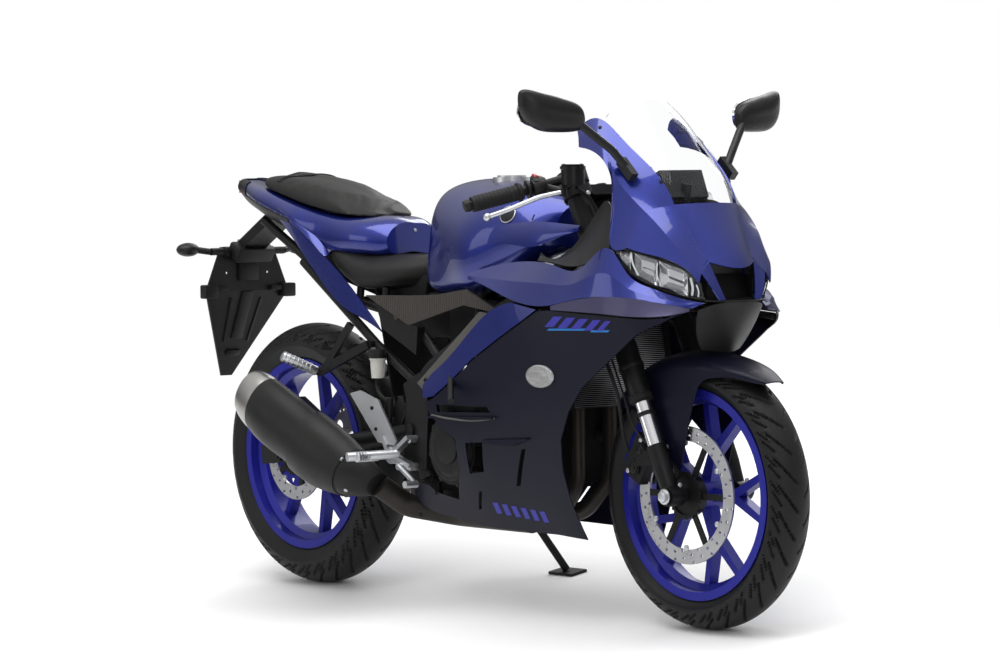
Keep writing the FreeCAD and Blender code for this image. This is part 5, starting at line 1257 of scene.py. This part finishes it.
def buildTailTrim():
    tailCover()
    settle(bothSides(buildShoulders), "tail_shoulders", "bodyBlue", smoothAngle=50)
    seam = []
    for x in (-704, -712):
        points = []
        for y in (-92, -70, -40, 0, 40, 70, 92):
            seen = hitSurface(["rear_seat_padded"], (x - abs(y) * 0.22, y, 1200), (0, 0, -1))
            if seen:
                points.append(seen[0] + Vector((0, 0, 1.2)))
        if len(points) > 2:
            seam.append(addHose(points, 1.7, 8))
    if seam:
        settle(seam, "rear_seat_seam", "gripRubber")
    hanger = [
        addSlab((-968, 0, 796), (46, 112, 40), (0, 28, 0), 7),
        addSlab((-984, 0, 752), (16, 60, 56), level, 5),
        addSlab((-1010, 0, 640), (8, 34, 130), (0, 24, 0), 3),
        addSlab((-1016, -40, 628), (7, 6, 120), (0, 24, -12), 2),
        addSlab((-1016, 40, 628), (7, 6, 120), (0, 24, 12), 2),
        addSlab((-1050, 0, 545), (8, 40, 16), (0, 24, 0), 3),
    ]
    for side in (-1, 1):
        hanger.append(addSlab((-982, side * 118, 700), (26, 40, 34), level, 4))
        hanger.append(addSlab((-978, side * 84, 706), (10, 40, 12), level, 3))
        hanger.append(addRod((-985, side * 54, 797), (-985, side * 72, 797), 13, 24))
    settle(hanger, "hanger_trim", "trimBlack")
    settle([addSlab((-987, 0, 818), (22, 46, 12), (0, 28, 0), 3)], "plate_lamp", "lampSmoke")
    start, end = Vector((-503, 152, 523)), Vector((-531, 232, 561))
    sleeves = [(start, end, 11.5, 24, None, 2)] + [
        (start.lerp(end, share), start.lerp(end, share + 0.035), 13, 24, None, 0.5)
        for share in (0.2, 0.32, 0.44, 0.56, 0.68, 0.8, 0.92)
    ]
    settle(mirroredRods(sleeves), "pillion_peg_sleeves", "castAluminium")
    settle([
        addRod((-283, -140, 560), (-283, -140, 580), 21.5, 32, bevel=1.5),
        addRod((-283, -140, 556), (-283, -140, 560), 20, 32),
    ], "rear_cup_lid", "trimBlack")
    settle([
        addRod((-236, -150, 402), (-226, -150, 470), 11, 24),
        addRod((-240, -150, 380), (-236, -150, 402), 5, 16),
        addSlab((-231, -146, 440), (30, 10, 26), (0, 8, 0), 2),
    ], "rear_master_cylinder", "forkBlack")
    settle([addHose([(-283, -140, 516), (-284, -142, 496), (-262, -148, 474), (-234, -150, 462)], 5, 10)],
           "rear_cup_hose", "gripRubber")


buildTailTrim()


# flank signals, and the plain discs and louvres of the tank
tankNodes = ["fuel_tank", "tank_side_panels"]
tankDiscs = (("tank_disc_rims", "castAluminium", 21, 2.0), ("tank_discs", "trimBlack", 19, 2.6))


def buildFlankTrim():
    lens = seenInPhoto(540, 376, ["front_signals"])
    heel, tip = onSkin(529, 375.5, ["side_cowl_right"], 3), onSkin(511, 375.5, ["side_cowl_right"], 1)
    if lens and heel and tip:
        settle(mirroredRods([(heel, tip, 15, 24, 2, 0)]), "signal_backs", "lampChrome")
        bulb = (lens[0] - lens[1] * 2, lens[0] + lens[1] * 0.8, 7, 20, 4)
        settle(mirroredRods([bulb]), "signal_bulbs", "bulbOrange")
    badge = seenInPhoto(508, 214.5, tankNodes)
    if badge:
        place, facing = badge
        for name, finishName, radius, lift in tankDiscs:
            settle(mirroredRods([(place, place + facing * lift, radius, 40, None, 0.5)]), name, finishName)
    # dark bars half sunk in the tank skin for the louvre slots: painted shade of the slots
    louvres = []
    for k in range(5):
        top = onSkin(534.5 + 5.0 * k, 214.5 + 0.8 * k, tankNodes, -1.3)
        foot = onSkin(532.0 + 5.0 * k, 220.5 + 0.8 * k, tankNodes, -1.3)
        if top and foot and (top - foot).length < 22 and top.x < 318:
            louvres.append((foot, top, 2.4, 10))
    if louvres:
        settle(mirroredRods(louvres), "tank_louvre_shade", "innerDark")


buildFlankTrim()

footRings = [((-190, y, 341), (-190, y + 3.4, 341), 11.2, 20, None, 0.5) for y in range(216, 273, 7)]
settle(mirroredRods(footRings), "footrest_rings", "castAluminium")

# plain slanted bars on both flanks: each bar's place and width along the photograph's row, in pixels
flankRows = {
    "flank_bars": {
        "finish": "barViolet", "bars": ((549, 9.0), (562, 9.0), (575, 9.0), (588, 8.0), (599, 6.0)),
        "low": 327.0, "high": 316.5, "slant": 9.0, "fall": 0.09,
    },
    "flank_underline": {
        "finish": "barCyan", "bars": ((566, 38.0), (599, 18.0)),
        "low": 330.6, "high": 328.6, "slant": 2.0, "fall": 0.05,
    },
    "belly_bars": {
        "finish": "barViolet", "bars": tuple((500 + 9.4 * k, 5.0) for k in range(6)),
        "low": 513.5, "high": 502.5, "slant": -5.0, "fall": 0.19,
    },
}


def buildFlankRow(row, side):
    bars = []
    for u, width in row["bars"]:
        bar = addGrid(8, 6)
        missed = False
        for vertex in bar.data.vertices:
            up = vertex.co.y + 0.5
            pixelU = u + vertex.co.x * width + row["slant"] * up
            pixelV = row["low"] + (row["high"] - row["low"]) * up + row["fall"] * (u - row["bars"][0][0])
            place = onSkin(pixelU, pixelV, flankNodes, 0.5)
            if place is None:
                missed = True
                continue
            vertex.co = (otherSide(place) if side > 0 else place) / 1000
        if missed:
            bpy.data.objects.remove(bar)
            continue
        bars.append(bar)
    return bars


for rowName, flankRow in flankRows.items():
    rowBars = buildFlankRow(flankRow, -1) + buildFlankRow(flankRow, 1)
    if rowBars:
        settle(rowBars, rowName, flankRow["finish"], smoothAngle=80)

# bolts at the places the photograph shows
for u, v in ((372, 408), (376, 429)):
    boltOn(u, v, ["foot_controls"], 4.5, finishName="forkBlack")
boltOn(425.6, 380, ["side_cowl_right", "spar_covers", "frame_covers"], 5)
for u, v in ((436, 493), (421, 515)):
    boltOn(u, v, ["side_cowl_right", "engine", "exhaust_headers"], 5, mirrorToo=False)
for u, v in ((342, 459), (346, 490)):
    boltOn(u, v, ["muffler"], 5, finishName="castAluminium", mirrorToo=False)
boltOn(306, 231, ["tail_cowl"], 4, finishName="castAluminium")
boltOn(415, 230, ["tail_cowl"], 4, finishName="castAluminium", mirrorToo=False)
for u, v in ((600, 127.5), (661, 182)):
    boltOn(u, v, flankNodes + ["nose_cowl", "windscreen"], 4)
buildBolts()
print("stage: small fittings and bolts set")


# studio: pale floor that fades into white, a large soft lamp above and weaker ones round it
studio = {
    "floorSize": 40.0, "fadeStart": 1.5, "fadeEnd": 3.2, "skyLow": (0.02, 0.12), "skyHigh": (0.65, 0.85),
    "aim": (0.0, 0.0, 0.55), "seenBy": ("Is Camera Ray", "Is Transmission Ray"),
}
lamps = {
    "topLamp": ((0.4, -0.2, 4.4), (4.5, 3.0), 190.0), "frontLamp": ((5.0, -3.0, 2.6), (2.5, 2.5), 38.0),
    "sideLamp": ((-2.5, -5.0, 2.2), (3.0, 2.0), 30.0), "backLamp": ((-2.0, 4.5, 3.0), (3.5, 2.5), 90.0),
}
white = (1.0, 1.0, 1.0, 1.0)


def showToCamera(tree, lighting, seen, outputName):
    # the camera, also through glass, sees the second shader, and everything else the first
    path = makeNode(tree, "LightPath")
    most = makeNode(tree, "Math", operation="MAXIMUM")
    mix = makeNode(tree, "MixShader")
    wire(
        tree, (path, studio["seenBy"][0], most, 0), (path, studio["seenBy"][1], most, 1), (most, 0, mix, 0),
        (lighting, 0, mix, 1), (seen, 0, mix, 2), (mix, 0, tree.nodes[outputName], "Surface"),
    )


def buildFloor():
    clearSelection()
    bpy.ops.mesh.primitive_circle_add(vertices=96, radius=studio["floorSize"] / 2, fill_type="NGON")
    floor = bpy.context.object
    floor.name = "studioFloor"
    material, tree, shader, place = startFinish("studioFloor")
    setInputs(shader, {"Base Color": (0.86, 0.86, 0.86, 1.0), "Roughness": 0.6, "Specular IOR Level": 0.2})
    glow = makeNode(tree, "Emission", {"Color": white})
    reach = makeNode(tree, "VectorMath", operation="LENGTH")
    fade = makeNode(
        tree, "MapRange", {"From Min": studio["fadeStart"], "From Max": studio["fadeEnd"]},
        interpolation_type="SMOOTHSTEP",
    )
    far = makeNode(tree, "MixShader")
    wire(
        tree, (place, "Object", reach, 0), (reach, "Value", fade, "Value"), (fade, "Result", far, 0),
        (shader, 0, far, 1), (glow, 0, far, 2),
    )
    showToCamera(tree, shader, far, "Material Output")
    floor.data.materials.append(material)


def buildWorld():
    world = bpy.data.worlds.new("studioWorld")
    bpy.context.scene.world = world
    world.use_nodes = True
    tree = world.node_tree
    light = tree.nodes["Background"]
    setInputs(light, {"Color": white})
    heading = makeNode(tree, "TexCoord")
    parts = makeNode(tree, "SeparateXYZ")
    (lowest, lowLight), (highest, highLight) = studio["skyLow"], studio["skyHigh"]
    rise = makeNode(
        tree, "MapRange", {"From Min": lowest, "From Max": highest, "To Min": lowLight, "To Max": highLight},
    )
    seen = makeNode(tree, "Background", {"Color": white, "Strength": 1.0})
    wire(
        tree, (heading, "Generated", parts, 0), (parts, "Z", rise, "Value"),
        (rise, "Result", light, "Strength"),
    )
    showToCamera(tree, light, seen, "World Output")


def buildLamp(name):
    place, size, power = lamps[name]
    clearSelection()
    bpy.ops.object.light_add(type="AREA", location=place)
    lamp = bpy.context.object
    lamp.name = name
    lamp.data.shape = "RECTANGLE"
    lamp.data.size, lamp.data.size_y = size
    lamp.data.energy = power
    lamp.rotation_euler = (Vector(studio["aim"]) - Vector(place)).to_track_quat("-Z", "Y").to_euler()


def buildCamera():
    right, above, ahead = photoAxes()
    turn = Matrix((right, above, -ahead)).transposed().to_4x4()
    clearSelection()
    bpy.ops.object.camera_add()
    camera = bpy.context.object
    camera.name = "photoCamera"
    camera.data.sensor_width = photoCamera["sensor"]
    camera.data.lens = photoCamera["focal"] / photoCamera["width"] * photoCamera["sensor"]
    camera.matrix_world = parked @ Matrix.Translation(Vector(photoCamera["place"]) / 1000) @ turn
    bpy.context.scene.camera = camera


buildFloor()
buildWorld()
for lampName in lamps:
    buildLamp(lampName)
buildCamera()
bpy.context.scene.view_settings.view_transform = "Standard"
print("stage: studio and camera set")
